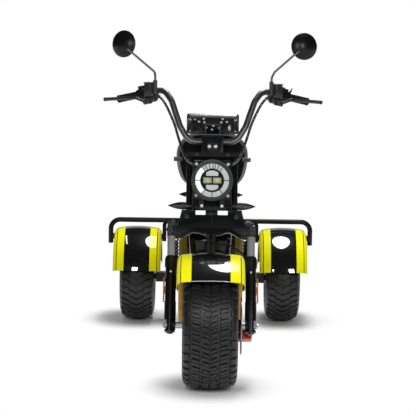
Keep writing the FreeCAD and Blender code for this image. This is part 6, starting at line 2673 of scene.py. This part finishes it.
def assemblies(layout: Layout) -> list[object]:
    """Every sub-assembly of the scooter, ready to build.

    Args:
        layout: Main places of the vehicle.

    Returns:
        The sub-assemblies in order.
    """
    front, left, right = layout.front_wheel(), *(layout.rear_wheel(side) for side in Side)
    drawn_on_fork = (
        (-22, 46, 383.4), (-14, 50, 361), (12, 54, 344), (46, 56, 345), (84, 52, 331),
        (118, 42, 305), (142, 48, 275), (154, 44, 200), (154, 40, 120), (150, 62, 50), (146, 92, 6),
    )
    hose = [layout.fork() @ Vector(point) for point in drawn_on_fork]
    rear_tyre = (386, 152, 124, 178, 112, Tread.CHEVRONS, 36, 6.0)
    rear_shell = (229, 212, 74, 80, Store.REAR_FENDER)
    board_bolts = [
        (layout.at(side.value * 158, behind, 331.6), UP, 5.5, BoltHead.DOME)
        for side in Side for behind in (505, 709)
    ]
    return [
        Tyre(
            "front_tyre_tread", "front_tyre", Body.FRONT_WHEEL, front, 480, 205, 178, 304, 150,
            Tread.BLOCKS, 38,
        ),
        Tyre("left_tyre_tread", "rear_tyre_left", Body.REAR_LEFT, left, *rear_tyre),
        Tyre("right_tyre_tread", "rear_tyre_right", Body.REAR_RIGHT, right, *rear_tyre),
        Carried(["front_rim", "rear_rim_left", "rear_rim_right"], Store.WHEEL),
        Carried(["front_disc"], Store.DISC),
        Carried(["front_axle", "steering_stem"], Store.CHROME),
        Fender(
            "front_fender_shell", ["front_fender"], Body.HEAD, front, 277, 256, 42, 52,
            Store.FRONT_FENDER, lip=73,
        ),
        Fender("left_fender_shell", ["rear_fenders"], Body.CHASSIS, left, *rear_shell),
        Fender("right_fender_shell", [], Body.CHASSIS, right, *rear_shell),
        Casting("fork_bridge", Body.HEAD, Store.BRIDGE, 2.0),
        Casting("upper_clamp", Body.HEAD, Store.BRIDGE, 1.5),
        Casting("handlebar_clamp", Body.HEAD, Store.BRIDGE, 1.2),
        Casting("headlight_bracket", Body.HEAD, Store.GLOSS_BLACK, 0.8),
        Casting("front_caliper", Body.HEAD, Store.RED, 1.5),
        Carried(["fork_uprights", "fork_sliders"], Store.FORK_BLACK),
        Carried(["fork_stanchions"], Store.CHROME),
        Carried(["fork_reflectors"], Store.AMBER),
        Carried(
            ["fender_stays", "dash_bracket", "main_frame", "rear_frame", "axle_beam", "swingarm"],
            Store.FRAME,
        ),
        Carried(["handlebar"], Store.BAR_BLACK),
        Carried(["fender_rack"], Store.FRAME),
        Controls(layout, Side.LEFT, 17.0, (242.0, 127.7, 333.0)),
        Controls(layout, Side.RIGHT, 31.0, (233.0, 127.7, 327.0)),
        Cord("front_brake_hose", hose, 3.5, 0.0, Store.HOSE),
        HeadHardware(layout),
        Casting("dash", Body.HEAD, Store.DASH, 1.2),
        Carried(["seat_base", "plate_holder"], Store.PLASTIC),
        Carried(["mirror_glass"], Store.MIRROR),
        Carried(["dash_screen"], Store.SCREEN),
        Headlamp(along(layout.at(0, 125, 781), AHEAD)),
        Signals(
            "front_signal", ["front_signals"], Body.HEAD, layout.at(60, 170, 676), 169, AHEAD,
            layout.at(70, 184, 676),
        ),
        Signals(
            "rear_signal", ["rear_signals"], Body.CHASSIS, layout.at(38, 1466, 548), 147, -AHEAD
        ),
        Casting("belly_core", Body.CHASSIS, Store.GLOSS_BLACK, 3.0),
        Carried(["belly_covers"], Store.SHADED_YELLOW_PAINT),
        Carried(["tank"], Store.TANK),
        BellyTrim(layout),
        Carried(["tank_fittings"], Store.FITTING),
        Cushion(layout),
        Fasteners("board_bolts", Body.CHASSIS, Store.ZINC, board_bolts),
        Carried(["foot_boards"], Store.MAT),
        Carried(["drive_motor"], Store.MOTOR),
        Carried(["shock_absorbers"], Store.FRAME),
        Carried(["tail_lamp"], Store.RED_LENS),
    ]


def main() -> None:
    """Builds the scooter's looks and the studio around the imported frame."""
    for stray in list(bpy.data.objects):
        bpy.data.objects.remove(stray)
    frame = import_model()
    LOG.info("frame with %d nodes", len(frame["nodes"]))
    layout = Layout.from_frame()
    for part in assemblies(layout):
        for piece in part.build():
            LOG.info("%s: %s", type(part).__name__, piece.name)
    Studio(tuple(tuple(p * MM) for p in layout.contacts())).build()
    Viewpoint().build(layout)


if __name__ == "__main__":
    logging.basicConfig(level=logging.INFO)
    main()
